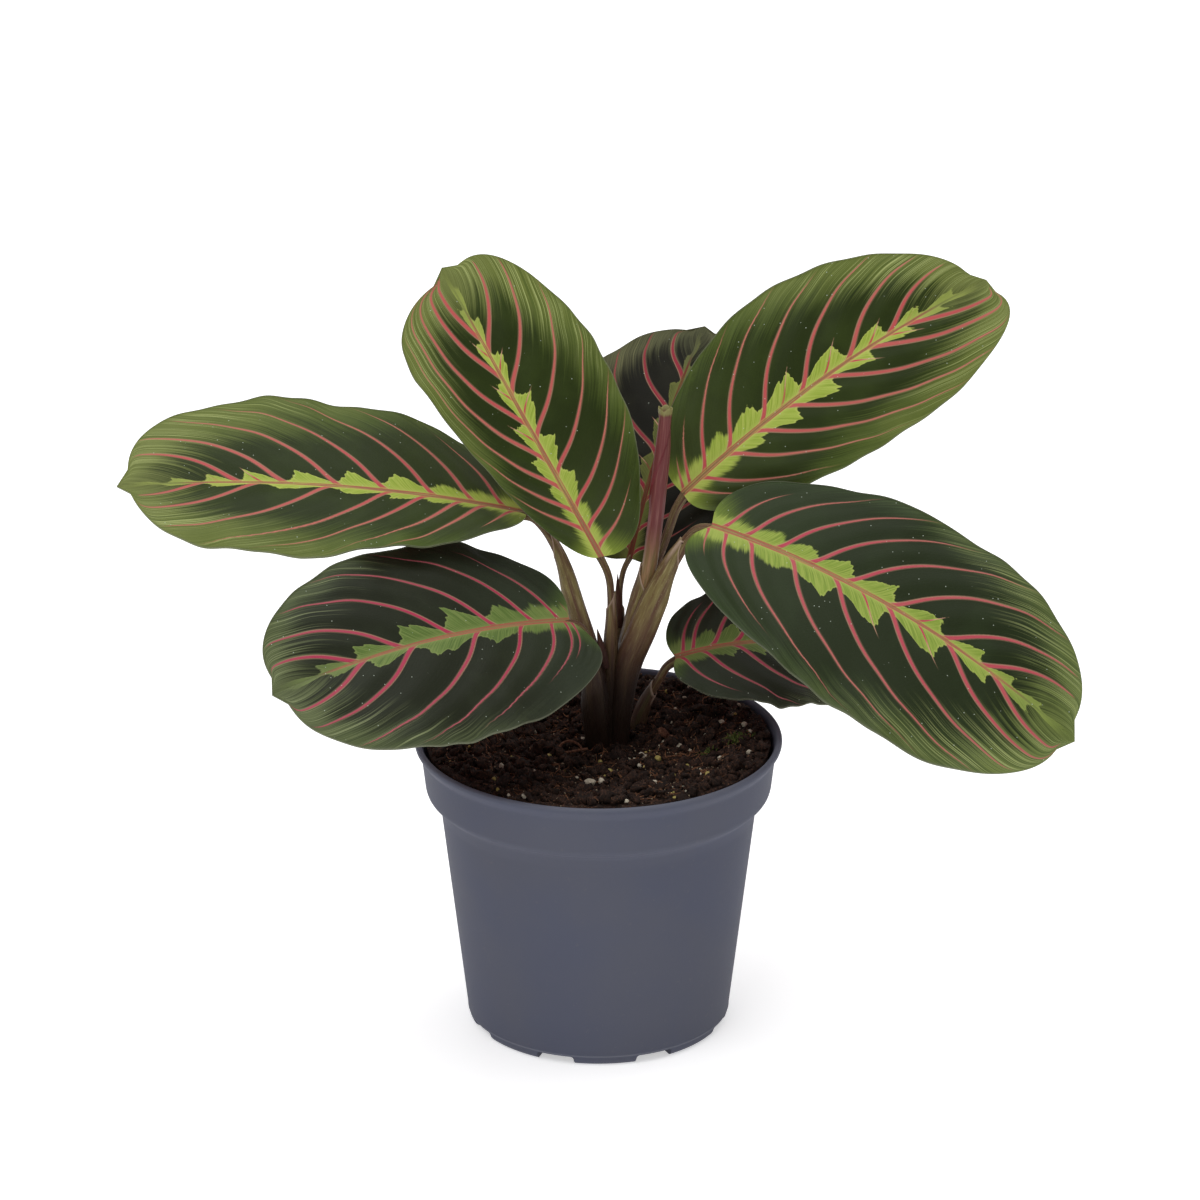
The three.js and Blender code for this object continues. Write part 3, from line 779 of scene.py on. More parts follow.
class Finishes:
    """Every material of the plant other than the blades' upper sides, made once."""

    def __init__(self) -> None:
        """Makes the materials."""
        self.underside = UndersideFinish().material()
        # Each stem finish ends in its painted shade: the darkest colour, and the heights where that shade is
        # full and where it ends.
        self.stalk = StemFinish("stalk", (92, 62, 46), (122, 106, 68), (190, 168, 132), (30, 20, 16),
                                olive_share=0.4, full_shade_height=44, shade_top_height=56).material()
        self.sheath = StemFinish("sheath", (90, 60, 44), (126, 112, 68), (184, 172, 124), (31, 21, 17),
                                 olive_share=0.6).material()
        self.side_sheath = StemFinish("side_sheath", (92, 66, 54), (92, 84, 54), (150, 122, 100),
                                      (34, 24, 18), olive_share=0.45, full_shade_height=42, shade_top_height=49.5).material()
        self.bract = StemFinish("bract", (72, 40, 31), (92, 60, 44), (134, 98, 82), (36, 22, 18)).material()
        self.roll = RollFinish().material()
        self.pot = PotFinish().material()
        grits = (
            GritFinish("peat", (25, 16, 12), (64, 42, 31), (134, 96, 70), scale=1.2, relief=0.3),
            GritFinish("perlite", (168, 158, 138), (208, 200, 182), (236, 232, 220), scale=2.0, relief=0.12),
            GritFinish("yellow_bead", (150, 135, 72), (188, 172, 104), (214, 202, 146), scale=1.6,
                       roughness=0.5),
            GritFinish("sand", (110, 96, 78), (172, 156, 130), (220, 210, 190), roughness=0.6),
            GritFinish("brown_fibre", (84, 54, 38), (134, 94, 66), (186, 152, 116)),
            GritFinish("moss", (56, 66, 28), (96, 106, 48), (150, 156, 88)),
            GritFinish("bark_scrap", (84, 52, 38), (122, 86, 66), (172, 140, 114), scale=1.2, relief=0.15),
        )
        self.grit = {finish.name: finish.material() for finish in grits}


class PaintedLight(Enum):
    """Lit and shaded copies of the colours of a blade's upper side: painted light and shade, paler for the
    blades up in the light and darker for those in the shade of others.
    """

    # Painted light, for the blades at the top.
    BRIGHT = BladeFinish(
        "blade_bright", dark=(35, 46, 6), dark_base=(52, 62, 25), margin=(107, 117, 55), haze=(68, 84, 30),
        lime=(148, 168, 62), lime_pale=(184, 193, 98), vein=(186, 78, 80), vein_far=(184, 118, 98),
        streak=(168, 177, 112), tip=(119, 127, 68))
    # The middle copy, between the lit and the shaded ones.
    FULL = BladeFinish(
        "blade_full", dark=(28, 38, 9), dark_base=(42, 53, 27), margin=(89, 101, 54), haze=(50, 65, 34),
        lime=(128, 150, 56), lime_pale=(166, 178, 88), vein=(180, 66, 82), vein_far=(176, 106, 94),
        streak=(154, 163, 104), tip=(110, 123, 63))
    # Painted shade, for the blades that lie under the others.
    SHADED = BladeFinish(
        "blade_shaded", dark=(30, 34, 19), dark_base=(47, 54, 39), margin=(82, 92, 58), haze=(54, 61, 42),
        lime=(92, 114, 54), lime_pale=(130, 144, 82), vein=(170, 52, 80), vein_far=(170, 86, 94),
        streak=(132, 140, 100), tip=(100, 109, 70))
    # The darkest painted shade, for the blade at the back.
    DEEP_SHADE = BladeFinish(
        "blade_deep_shade", dark=(23, 22, 15), dark_base=(25, 23, 16), margin=(86, 86, 60), haze=(50, 50, 36),
        lime=(88, 94, 46), lime_pale=(110, 114, 60), vein=(140, 40, 56), vein_far=(136, 68, 66),
        streak=(104, 104, 72), tip=(84, 86, 60), midrib=(96, 52, 38), midrib_edge=(112, 44, 42), gloss=0.06)


# Blades


# How far out each vein runs, as a share of the way to the margin, by its start on the midrib
VEIN_ENDS = Curve((0, 0.03, 0.06, 0.12, 0.5, 0.66, 0.76, 0.82, 0.87),
                  (0.5, 0.66, 0.84, 0.94, 0.93, 0.9, 0.78, 0.64, 0.42))
# The outline of one lobe, from one vein to the next
TEETH = Curve((0, 0.07, 0.14, 0.24, 0.31, 0.37, 0.44, 0.49, 0.53, 0.58, 0.63, 0.67, 0.75, 0.86, 1),
              (0, 0.08, 0.26, 0.66, 0.84, 0.78, 0.96, 1.12, 0.94, 0.7, 0.74, 0.48, 0.26, 0.1, 0))
# How much of the lime band is left in the notches between lobes, by the vein's start
VALLEYS = Curve((0, 0.2, 0.45, 0.7), (0.8, 0.56, 0.3, 0.16))
# How far the lobes reach from the midrib, in millimetres, by the vein's start
BAND = Curve((-0.5, -0.2, 0, 0.1, 0.2, 0.3, 0.42, 0.55, 0.68, 0.8, 0.9, 1),
             (4.8, 3.9, 2.8, 2.8, 3.4, 4.0, 4.1, 3.4, 2.6, 1.9, 1.3, 0.5))
# Where the dark field ends, as a share of the way to the margin, by the place along the midrib
DARK_ENDS = Curve((0, 0.3, 0.5, 0.7, 0.82, 0.9, 1), (1.0, 0.96, 0.88, 0.81, 0.72, 0.56, 0.18))


@dataclass(frozen=True)
class BladeHalf:
    """One side of a blade, from midrib to margin, in millimetres.

    Attributes:
        width: Its greatest width.
        widest: Where along the midrib that is, as a share.
        round_base: How full its outline is behind there: 2 for an ellipse, less for a narrower one.
        round_tip: How full its outline is ahead of there.
        spread: How far across the first vein would run, as a share of the width.
        starts: Where its veins leave the midrib, as shares.
        lobes: The reach of the lime lobes against the usual one.
        droop: How far the margin hangs.
        back: How far the base's lobe reaches back past the stalk.
        ahead: How far the tip's shoulder reaches forward.
        phase: What sets its waves apart from those of the other half.
    """

    width: float
    widest: float
    round_base: float
    round_tip: float
    spread: float
    starts: tuple[float, ...]
    lobes: float
    droop: float = 2.0
    back: float = 2.0
    ahead: float = 0.0
    phase: float = 0.0

    def shape(self, u: np.ndarray) -> np.ndarray:
        """The half's width at u as a share of its full width."""
        behind = u < self.widest
        reach = np.where(behind, (self.widest - u) / self.widest, (u - self.widest) / (1 - self.widest))
        power = np.where(behind, self.round_base, self.round_tip)
        return np.sqrt(np.maximum(0, 1 - np.maximum(reach, 0) ** power))

    def vein_start(self, u: np.ndarray, across: np.ndarray) -> np.ndarray:
        """Where on the midrib the vein through a place starts.

        Args:
            u: The place's distance along the midrib, as a share.
            across: Its distance from the midrib, as a share of the half's full width.

        Returns:
            The start, as a share of the midrib, below 0 for the veins that fan out of the base.
        """
        turn = 0.76
        low, high = np.full_like(u, -0.6), u.copy()
        for _ in range(40):
            start = (low + high) / 2
            left = 1 - start
            x = np.clip((u - start) / left, 0, 1)
            rising = (1 - (1 - np.minimum(x / turn, 1)) ** 2) ** 0.75
            falling = np.sqrt(np.maximum(0, 1 - (np.maximum(x - turn, 0) / (1 - turn)) ** 3.5))
            short = self.spread * left**1.1 * rising * falling < across
            high = np.where(short, start, high)
            low = np.where(short, low, start)
        return (low + high) / 2

    def vein_number(self, start: np.ndarray) -> np.ndarray:
        """The start counted in primary veins, which lie at the whole numbers."""
        known = np.asarray(self.starts)
        count = len(known)
        first, last = known[1] - known[0], max(0.04, 0.8 * (known[-1] - known[-2]))
        known = np.concatenate([[known[0] - 12 * first], known, [known[-1] + 6 * last]])
        return np.interp(start, known, [-12.0, *range(count), count + 5.0])


@dataclass(frozen=True)
class Pattern:
    """What a blade's painting and relief are made from, on one half's grid.

    Attributes:
        marks: The numbers to paint. "vein" holds the vein number, the millimetres between veins and how
            far along its vein a place is. "spot" holds its place along the midrib, its place on the way to
            the margin and its millimetres from the midrib. "zone" holds the lobe's reach, the end of the
            dark field and the noise's seed. "extra" holds the thin vein in the lobe and the vein's tone.
        quilt: The height of the quilting between the veins, 0 to 1.
    """

    marks: Marks
    quilt: np.ndarray


@dataclass(frozen=True)
class Leaf:
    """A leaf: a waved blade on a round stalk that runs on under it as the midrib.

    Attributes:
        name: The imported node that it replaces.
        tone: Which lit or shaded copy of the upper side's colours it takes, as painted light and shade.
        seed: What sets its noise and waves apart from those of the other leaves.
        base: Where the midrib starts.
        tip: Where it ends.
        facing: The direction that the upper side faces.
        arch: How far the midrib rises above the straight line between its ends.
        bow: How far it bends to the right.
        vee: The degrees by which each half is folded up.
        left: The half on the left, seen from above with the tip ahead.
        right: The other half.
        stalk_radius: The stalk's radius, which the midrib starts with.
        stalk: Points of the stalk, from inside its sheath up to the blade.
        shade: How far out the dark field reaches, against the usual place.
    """

    name: str
    tone: PaintedLight
    seed: int
    base: Point
    tip: Point
    facing: Point
    arch: float
    bow: float
    vee: float
    left: BladeHalf
    right: BladeHalf
    stalk_radius: float
    stalk: tuple[Point, ...]
    shade: float
    rows: int = 128
    columns: int = 64
    thickness: float = 0.42
    edge_wave: float = 0.6
    edge_waves: float = 3.2
    small_wave: float = 0.14
    small_waves: float = 9.1
    outline_ripple: float = 0.006
    outline_ripples: float = 7.3
    cusp: float = 2.0
    cusp_width: float = 1.3
    margin_thinning: float = 0.35
    quilt_height: float = 0.26
    groove: float = 0.24
    groove_width: float = 0.75
    hook: float = 1.8
    hook_reach: float = 0.85
    skin: float = 0.5
    knuckle: float = 0.22
    knuckle_reach: float = 1.8
    stalk_rings: int = 110
    stalk_sides: int = 20

    def axes(self) -> tuple[np.ndarray, float, np.ndarray, np.ndarray, np.ndarray]:
        """The base, the chord's length, and the directions along, up and to the right."""
        base = np.asarray(self.base, float)
        chord = np.asarray(self.tip, float) - base
        length = float(np.linalg.norm(chord))
        along = chord / length
        facing = np.asarray(self.facing, float)
        up = unit(facing - along * (facing @ along))
        return base, length, along, up, np.cross(along, up)

    def midrib(self, u: np.ndarray) -> np.ndarray:
        """Points on the midrib, u of the way from the stalk to the tip."""
        base, length, along, up, right = self.axes()
        swell = (4 * u * (1 - u))[..., None]
        return base + along * length * u[..., None] + up * self.arch * swell + right * self.bow * swell

    def midrib_frame(self, u: np.ndarray) -> tuple[np.ndarray, np.ndarray, np.ndarray]:
        """The directions forward, right and up at places on the midrib."""
        step = 1e-3
        forward = unit(self.midrib(np.minimum(u + step, 1)) - self.midrib(np.maximum(u - step, 0)))
        right = unit(np.cross(forward, self.axes()[3]))
        return forward, right, np.cross(right, forward)

    def surface(self, half: BladeHalf, u: np.ndarray, v: np.ndarray) -> np.ndarray:
        """Points of the blade's upper face.

        Args:
            half: The half that the points are on.
            u: Their places along the midrib, 0 at the stalk and 1 at the tip.
            v: Their places across, -1 at the left margin and 1 at the right one.

        Returns:
            The points in millimetres.
        """
        shape = half.shape(u)
        wobble = np.sin(2 * np.pi * self.outline_ripples * u + 2.1 * self.seed)
        across = v * half.width * shape * (1 + self.outline_ripple * wobble * ease(0.05, 0.3, u))
        share = np.abs(across) / half.width
        fold = math.tan(math.radians(self.vee)) * np.abs(across)
        wave = self.edge_wave * np.abs(v) ** 3 * np.sin(2 * np.pi * self.edge_waves * u + half.phase)
        small = np.sin(2 * np.pi * self.small_waves * u + 1.7 * self.seed)
        wave = (wave + self.small_wave * np.abs(v) ** 4 * small) * np.minimum(1, 4 * shape)
        lobe = np.sin(np.pi * share) * (half.ahead * u**4 - half.back * (1 - u) ** 4)
        cusp = self.cusp * u**30 * np.exp(-((across / self.cusp_width) ** 2))
        forward, right, up = self.midrib_frame(u)
        rise = fold - half.droop * share**2 + wave
        return (self.midrib(u) + right * across[..., None] + up * rise[..., None]
                + forward * (lobe + cusp)[..., None])

    def pattern(self, half: BladeHalf, u: np.ndarray, v: np.ndarray, points: np.ndarray) -> Pattern:
        """Works out where veins, lobes and shades fall on a grid over one half.

        Args:
            half: The half.
            u: The grid's places along the midrib.
            v: Its places across.
            points: Its points in millimetres.

        Returns:
            The numbers to paint on the grid, and the quilting between its veins.
        """
        side = int(half is not self.right)
        across = np.abs(v) * half.shape(u)
        rib = across * half.width
        start = half.vein_start(u, across)
        number = half.vein_number(start)
        pitch = veins_apart(points, number)
        number = number + self.hook / np.maximum(pitch, 4.0) * np.exp(-rib / self.hook_reach)
        pitch = veins_apart(points, number)
        pitch[0], pitch[-1] = pitch[1], pitch[-2]
        part = number - np.floor(number)
        count, spare = len(half.starts), 7
        luck = np.random.default_rng(self.seed * 10 + 1 + side).uniform(-1, 1, (4, count + 2 * spare))
        nearest = np.round(number).astype(int)
        real = (nearest >= 0) & (nearest < count)
        own = np.clip(nearest, 0, count - 1)
        cell = np.clip(np.floor(number).astype(int) + spare, 0, count + 2 * spare - 1)
        edge = np.abs(v)
        ends = VEIN_ENDS.at(half.starts) + 0.03 * luck[0, :count]
        reach = np.where(real, edge / ends[own], 2.0)
        valley = VALLEYS.at(start)
        bump = valley + (1 - valley) * TEETH.at(part)
        lobed = ease(0.0, 0.2, start)
        own_lobe = 1 + 0.12 * luck[1][cell] * lobed
        lobe = half.lobes * BAND.at(start) * own_lobe * (bump * lobed + 0.8 * (1 - lobed))
        dark_end = DARK_ENDS.at(u) * (1 + (self.shade - 1) * ease(0.1, 0.5, u)) + 0.06 * luck[2][cell]
        between = ease(0.28, 0.42, start) * ease(0.82, 0.72, start) * (luck[3][cell] > -0.1)
        tone = np.where(real, 0.5 + 0.5 * luck[3][own], 0.5)
        seed = np.full_like(u, self.seed * 13 + 5 * (1 - side))
        quilt = np.sin(np.pi * part) ** 2 * ease(0.6, 3.5, rib) * (1 - edge**6) * ease(0, 0.1, u)
        marks = {"vein": (number, pitch, reach), "spot": (u, edge, rib), "zone": (lobe, dark_end, seed),
                 "extra": (between, tone, np.zeros_like(u))}
        return Pattern({name: np.stack(three, -1) for name, three in marks.items()},
                       quilt * ease(1.0, 0.8, u))

    def upper_face(self, u: np.ndarray, v: np.ndarray,
                   parts: Sequence[slice]) -> tuple[np.ndarray, list[Pattern]]:
        """The upper face with its quilting and the groove over the midrib.

        Args:
            u: The grid's places along the midrib.
            v: Its places across.
            parts: The grid's columns on the left half and on the right one.

        Returns:
            The face's points, and the pattern of each half.
        """
        points, relief, patterns = np.empty((*u.shape, 3)), np.zeros_like(u), []
        for half, part in zip((self.left, self.right), parts):
            points[:, part] = self.surface(half, u[:, part], v[:, part])
            patterns.append(self.pattern(half, u[:, part], v[:, part], points[:, part]))
            relief[:, part] = patterns[-1].quilt * self.quilt_height
        left, right = (pattern.marks["spot"][:, :, 2] for pattern in patterns)
        rib = np.concatenate([left, right[:, 1:]], axis=1)
        relief -= self.groove * np.exp(-((rib / self.groove_width) ** 2)) * (1 - u) ** 0.5
        return points + self.midrib_frame(u)[2] * relief[..., None], patterns

    def blade(self) -> Form:
        """The blade as a closed sheet, its upper side painted with the pattern."""
        rows, columns = self.rows, self.columns
        t, x = np.linspace(0, 1, rows + 1), np.linspace(-1, 1, columns + 1)
        along = 0.5 * t + 0.25 * (1 - np.cos(np.pi * t))
        u, v = np.meshgrid(along, x * (0.72 + 0.28 * np.abs(x)), indexing="ij")
        middle = columns // 2
        parts = (slice(0, middle + 1), slice(middle, columns + 1))
        upper, patterns = self.upper_face(u, v, parts)
        thin = self.thickness * (1 - self.margin_thinning * np.abs(v) ** 4)
        lower = upper - self.midrib_frame(u)[2] * thin[..., None]
        index = np.empty(u.shape, int)
        index[0], index[-1] = 0, 1
        index[1:-1] = 2 + np.arange((rows - 1) * (columns + 1)).reshape(rows - 1, columns + 1)
        sheet = [np.concatenate([side[[0, -1], 0], side[1:-1].reshape(-1, 3)]) for side in (upper, lower)]
        size = len(sheet[0])
        faces, finish = [], []
        marks: dict[str, list[np.ndarray]] = {name: [] for name in patterns[0].marks}
        for part, pattern in zip(parts, patterns):
            i, j = cell_numbers(rows, part.stop - part.start - 1)
            corners = cell_triangles(index[:, part], i, j, j + 1)
            a, b, c = corners.T
            whole = (a != b) & (b != c) & (c != a)
            faces += [corners[whole], corners[whole][:, ::-1] + size]
            finish += [np.zeros(whole.sum(), int), np.ones(whole.sum(), int)]
            for name, grid in pattern.marks.items():
                painted = cell_triangles(grid, i, j, j + 1)[whole]
                marks[name] += [painted, painted[:, ::-1]]
        for column, pattern, step in ((0, patterns[0], 1), (-1, patterns[1], -1)):
            near, far = (index[:-1, column], index[1:, column])[::step]
            faces.append(to_triangles(np.stack([near, near + size, far + size, far], 1)))
            finish.append(np.zeros(len(faces[-1]), int))
            for name, grid in pattern.marks.items():
                near, far = (grid[:-1, column], grid[1:, column])[::step]
                marks[name].append(to_triangles(np.stack([near, near, far, far], 1)))
        form = Form(tuple(marks))
        form.add(np.concatenate(sheet), np.concatenate(faces),
                 {name: np.concatenate(values) for name, values in marks.items()}, np.concatenate(finish))
        return form

    def stem(self) -> Form:
        """The round stalk, which thins out as the midrib under the blade."""
        places = np.array([0.03, 0.14, 0.34, 0.55, 0.75, 0.93])
        radii = np.array([1.0, 0.86, 0.62, 0.42, 0.28, 0.12]) * self.stalk_radius
        centres = self.midrib(places) - self.midrib_frame(places)[2] * (radii + self.skin)[:, None]
        stations = [(*point, self.stalk_radius) for point in self.stalk]
        stations += [(*centre, radius) for centre, radius in zip(centres, radii)]
        length, to_blade = length_of(stations), length_of(stations[:len(self.stalk) + 1])
        share = np.linspace(0, 1, self.stalk_rings)
        path = through(stations, share)
        swelling = 1 + self.knuckle * np.exp(-((share * length - to_blade) / self.knuckle_reach) ** 2)
        form = Form(("stem",))
        form.add_rings(*round_stem(path, path[:, 3] * swelling, self.stalk_sides, FRONT, length))
        return form

    def build(self, finishes: Finishes, upper: bpy.types.Material) -> None:
        """Makes the leaf's two pieces."""
        self.blade().build(f"{self.name}_blade", "leaf", [upper, finishes.underside], [self.name])
        self.stem().build(f"{self.name}_stalk", "stem", [finishes.stalk], [self.name])


def veins_apart(points: np.ndarray, number: np.ndarray) -> np.ndarray:
    """The distance from one vein to the next.

    Args:
        points: A grid of points in millimetres.
        number: The vein number at each point.

    Returns:
        The millimetres between whole vein numbers at each point.
    """
    down_rows, down_columns = np.gradient(points, axis=0), np.gradient(points, axis=1)
    e, f, g = ((a * b).sum(-1) for a, b in ((down_rows, down_rows), (down_rows, down_columns),
                                            (down_columns, down_columns)))
    by_row, by_column = np.gradient(number, axis=0), np.gradient(number, axis=1)
    steep = (g * by_row**2 - 2 * f * by_row * by_column + e * by_column**2) / np.maximum(e * g - f**2, 1e-9)
    return 1 / np.sqrt(np.clip(steep, 1e-4, 25))


def round_stem(path: np.ndarray, radii: np.ndarray, sides: int, first: Point,
               length: float) -> tuple[np.ndarray, Marks]:
    """Rings of a round stem with a little unevenness.

    Args:
        path: The centres, with anything after their first three numbers left unread.
        radii: The radius at each centre.
        sides: The points in a ring.
        first: The direction that the first point of the first ring faces.
        length: The stem's length in millimetres.

    Returns:
        The rings and the numbers painted on them.
    """
    facing, aside = carried_frames(path[:, :3], first)
    angle = full_turn(sides)
    down = np.linspace(0, length, len(path))[:, None]
    ribbed = 1 + 0.025 * np.sin(5 * angle + 1.3) + 0.02 * np.sin(3 * angle + down * 0.35)
    rings = path[:, None, :3] + around(facing, aside, angle) * (radii[:, None] * ribbed)[..., None]
    return rings, {"stem": stem_marks(down + np.zeros(sides + 1), 9.0)}


def stem_marks(down: np.ndarray, rim: np.ndarray | float) -> np.ndarray:
    """The numbers painted on a stem: millimetres down it, the turn around it, millimetres from its rim."""
    turn = np.broadcast_to(np.linspace(0, 1, down.shape[1]), down.shape)
    return np.stack([down, turn, np.broadcast_to(rim, down.shape)], -1)


# The shoot


@dataclass(frozen=True)
class Sheath:
    """A leaf's sheath: a wrapped tube with one long seam and a slanted mouth that ends in a point.

    Attributes:
        name: What the log calls it.
        stations: Its line from the mouth down, with the radius at each point.
        point_turn: Where around it the mouth's point stands, in turns from the front.
        stalk_radius: The radius of the stalk that comes out of it.
        slant: How far the mouth falls away from its point.
        over: How far the point stands above the mouth.
        seam_turn: Where around it the seam runs, in turns from the front.
        seam_step: How far the wall steps out across the seam.
    """

    name: str
    stations: tuple[Station, ...]
    point_turn: float
    stalk_radius: float
    slant: float = 4.5
    over: float = 1.6
    seam_turn: float = 0.12
    seam_step: float = 0.2
    point_width: float = 0.16
    wall: float = 0.22
    clearance: float = 0.2
    hug_length: float = 7.0
    rings: int = 72
    inner_rings: int = 8
    inner_depth: float = 5.0
    sides: int = 40

    def add_to(self, form: Form) -> None:
        """Adds the sheath to a form."""
        length = length_of(self.stations)
        turns = np.linspace(0, 1, self.sides + 1)
        angle = 2 * np.pi * turns
        away = np.abs((turns - self.point_turn + 0.5) % 1 - 0.5) * 2
        point = self.over * np.exp(-((away / self.point_width) ** 2))
        mouth = self.slant * ease(0.0, 1.0, away) ** 0.8 - point
        rim_outer = (length - mouth[None]) * (np.linspace(0, 1, self.rings) ** 1.25)[:, None]
        rim_inner = np.linspace(0, self.inner_depth, self.inner_rings)[::-1, None] + 0 * mouth
        outer = self.wrap(mouth + rim_outer, angle, length, 0.0)
        inner = self.wrap(mouth + rim_inner, angle, length, self.wall)
        seam = np.abs((turns - self.seam_turn + 0.5) % 1 - 0.5) * 2 * np.pi * 1.7
        rim = np.minimum(rim_outer, seam[None] + (1 - ease(length * 0.45, 0, rim_outer)) * 2)
        marks = np.concatenate([stem_marks(mouth + rim_inner, rim_inner), stem_marks(mouth + rim_outer, rim)])
        form.add_rings(np.concatenate([inner, outer])[:, :-1], {"stem": marks})
        LOG.info("sheath %s: %.1f mm long", self.name, length)

    def wrap(self, down: np.ndarray, angle: np.ndarray, length: float, inset: float) -> np.ndarray:
        """Points on the sheath's wall.

        Args:
            down: Millimetres below the mouth's plane, for each ring and side, or a little above it.
            angle: The angle of each side, 0 toward the front.
            length: The sheath's length.
            inset: How far inside the outer face the points lie.

        Returns:
            The points.
        """
        rows = through(self.stations, down / length)
        step = 0.01
        ahead = through(self.stations, np.clip(down / length + step, 0, 1))
        behind = through(self.stations, np.clip(down / length - step, 0, 1))
        along = unit((ahead - behind)[..., :3])
        facing = unit(np.array(FRONT) - along * (along @ np.array(FRONT))[..., None])
        aside = np.cross(facing, along)
        wrapped = ((angle / (2 * np.pi) - self.seam_turn) % 1.0) - 0.5
        radius = rows[..., 3] + self.seam_step * wrapped * ease(length, length * 0.2, down) - inset
        from_rim = down - down.min(axis=0, keepdims=True)
        hug = ease(self.hug_length, 0.0, from_rim) if inset == 0.0 else 1.0
        radius = radius + (self.stalk_radius + self.clearance - inset * 0.5 - radius) * hug
        above = np.minimum(down, 0.0)
        outward = facing * np.cos(angle)[:, None] + aside * np.sin(angle)[:, None]
        return rows[..., :3] + along * above[..., None] + outward * (radius + 0.06 * above)[..., None]


@dataclass(frozen=True)
class Bract:
    """A small pointed scale that lies against a stem."""

    stations: tuple[Station, ...]
    flat: float = 0.45

    def add_to(self, form: Form) -> None:
        """Adds the scale to a form."""
        path = through(self.stations, np.linspace(0, 1, 26))
        rings, marks = round_stem(path, np.maximum(path[:, 3], 0.04), 14, FRONT, length_of(self.stations))
        centre = path[:, None, :3]
        form.add_rings((rings - centre) * np.array([1.0, self.flat, 1.0]) + centre, marks)


@dataclass(frozen=True)
class Shoot:
    """The sheaths that stand together in the soil, with the small scales between them."""

    sheaths: tuple[Sheath, ...]
    bracts: tuple[Bract, ...]
    crown_centre: tuple[float, float] = (1.5, 3.5)
    crown_radius: float = 4.9
    crown_top: float = 45.6
    crown_depth: float = 8.6

    def build(self, finishes: Finishes) -> None:
        """Makes the shoot's pieces."""
        form = Form(("stem",))
        for sheath in self.sheaths:
            sheath.add_to(form)
        self.add_crown(form)
        form.build("shoot_sheaths", "stem", [finishes.sheath], ["shoot"])
        scales = Form(("stem",))
        for bract in self.bracts:
            bract.add_to(scales)
        scales.build("shoot_bracts", "stem", [finishes.bract], ["shoot"])

    def add_crown(self, form: Form) -> None:
        """Adds the short root stock that the sheaths rise from."""
        x, y = self.crown_centre
        path = np.array([(x, y, self.crown_top - self.crown_depth * t) for t in np.linspace(0, 1, 16)])
        radii = self.crown_radius * np.sin(np.linspace(0.5, 2.7, 16)) ** 0.5
        form.add_rings(*round_stem(path, radii, 40, FRONT, self.crown_depth))


@dataclass(frozen=True)
class RolledLeaf:
    """The newest leaf, still rolled up, which stands out of the shoot as a thin cone."""

    stations: tuple[Station, ...]
    turns: float = 1.15
    step: float = 0.24
    sides: int = 48
    rings: int = 150
    lip_flare: float = 0.55
    ragged: float = 0.5
    cup_inward: tuple[float, float] = (0.12, 0.85)
    cup_depths: tuple[float, ...] = (0.1, 0.5, 0.9, 1.1, 1.2)

    def build(self, finish: bpy.types.Material) -> None:
        """Makes the rolled leaf."""
        length = length_of(self.stations)
        share = np.linspace(0, 1, self.rings)[:, None]
        path = through(self.stations, share[:, 0])
        thick = path[:, 3:4]
        turn = np.linspace(0, 1, self.sides + 1)
        angle = 2 * np.pi * turn
        wrapped = (turn - (0.1 + self.turns * share)) % 1.0
        radius = thick + self.step * (wrapped - 0.5) * ease(0.0, 0.2, share)
        flare = self.lip_flare * ease(0.955, 1.0, share)
        radius = radius * (1 + flare * (0.7 + 0.3 * np.cos(angle * 2)))
        facing, aside = carried_frames(path[:, :3], FRONT)
        rings = path[:, None, :3] + around(facing, aside, angle) * radius[..., None]
        rings[..., 2] += self.ragged * np.abs(np.sin(2.5 * angle + 0.4)) * ease(0.94, 1.0, share)
        inward = np.linspace(*self.cup_inward, len(self.cup_depths))
        cup = rings[-1:] + (path[-1, :3] - rings[-1:]) * inward[:, None, None]
        cup[..., 2] -= np.array(self.cup_depths)[:, None]
        rings = np.concatenate([rings, cup])
        down = np.concatenate([share, np.ones((len(cup), 1))]) * length + np.zeros(self.sides + 1)
        from_seam = np.minimum(wrapped, 1 - wrapped) * 2 * np.pi * thick
        from_seam = np.concatenate([from_seam, np.repeat(from_seam[-1:], len(cup), 0)])
        form = Form(("stem",))
        form.add_rings(rings[:, :-1], {"stem": stem_marks(down, from_seam)})
        form.build("rolled_leaf_roll", "rolled_leaf", [finish], ["rolled_leaf"])


# The soil


@dataclass(frozen=True)
class Scatter:
    """Lumps of one kind that lie about on the soil.

    Attributes:
        name: The piece's name.
        finish: The name of its finish.
        count: How many lie at random places.
        sizes: The smallest and the largest radius.
        seed: The seed of their places and shapes.
        detail: How often their faces are divided.
        rough: How uneven they are.
        sink: The share of the radius that they are sunk by.
        power: Above 1, small ones are more common.
        places: Further ones at given places, as x, y and radius.
    """

    name: str
    finish: str
    count: int
    sizes: tuple[float, float]
    seed: int
    detail: int
    rough: float
    sink: float
    power: float = 2.0
    places: tuple[Point, ...] = ()


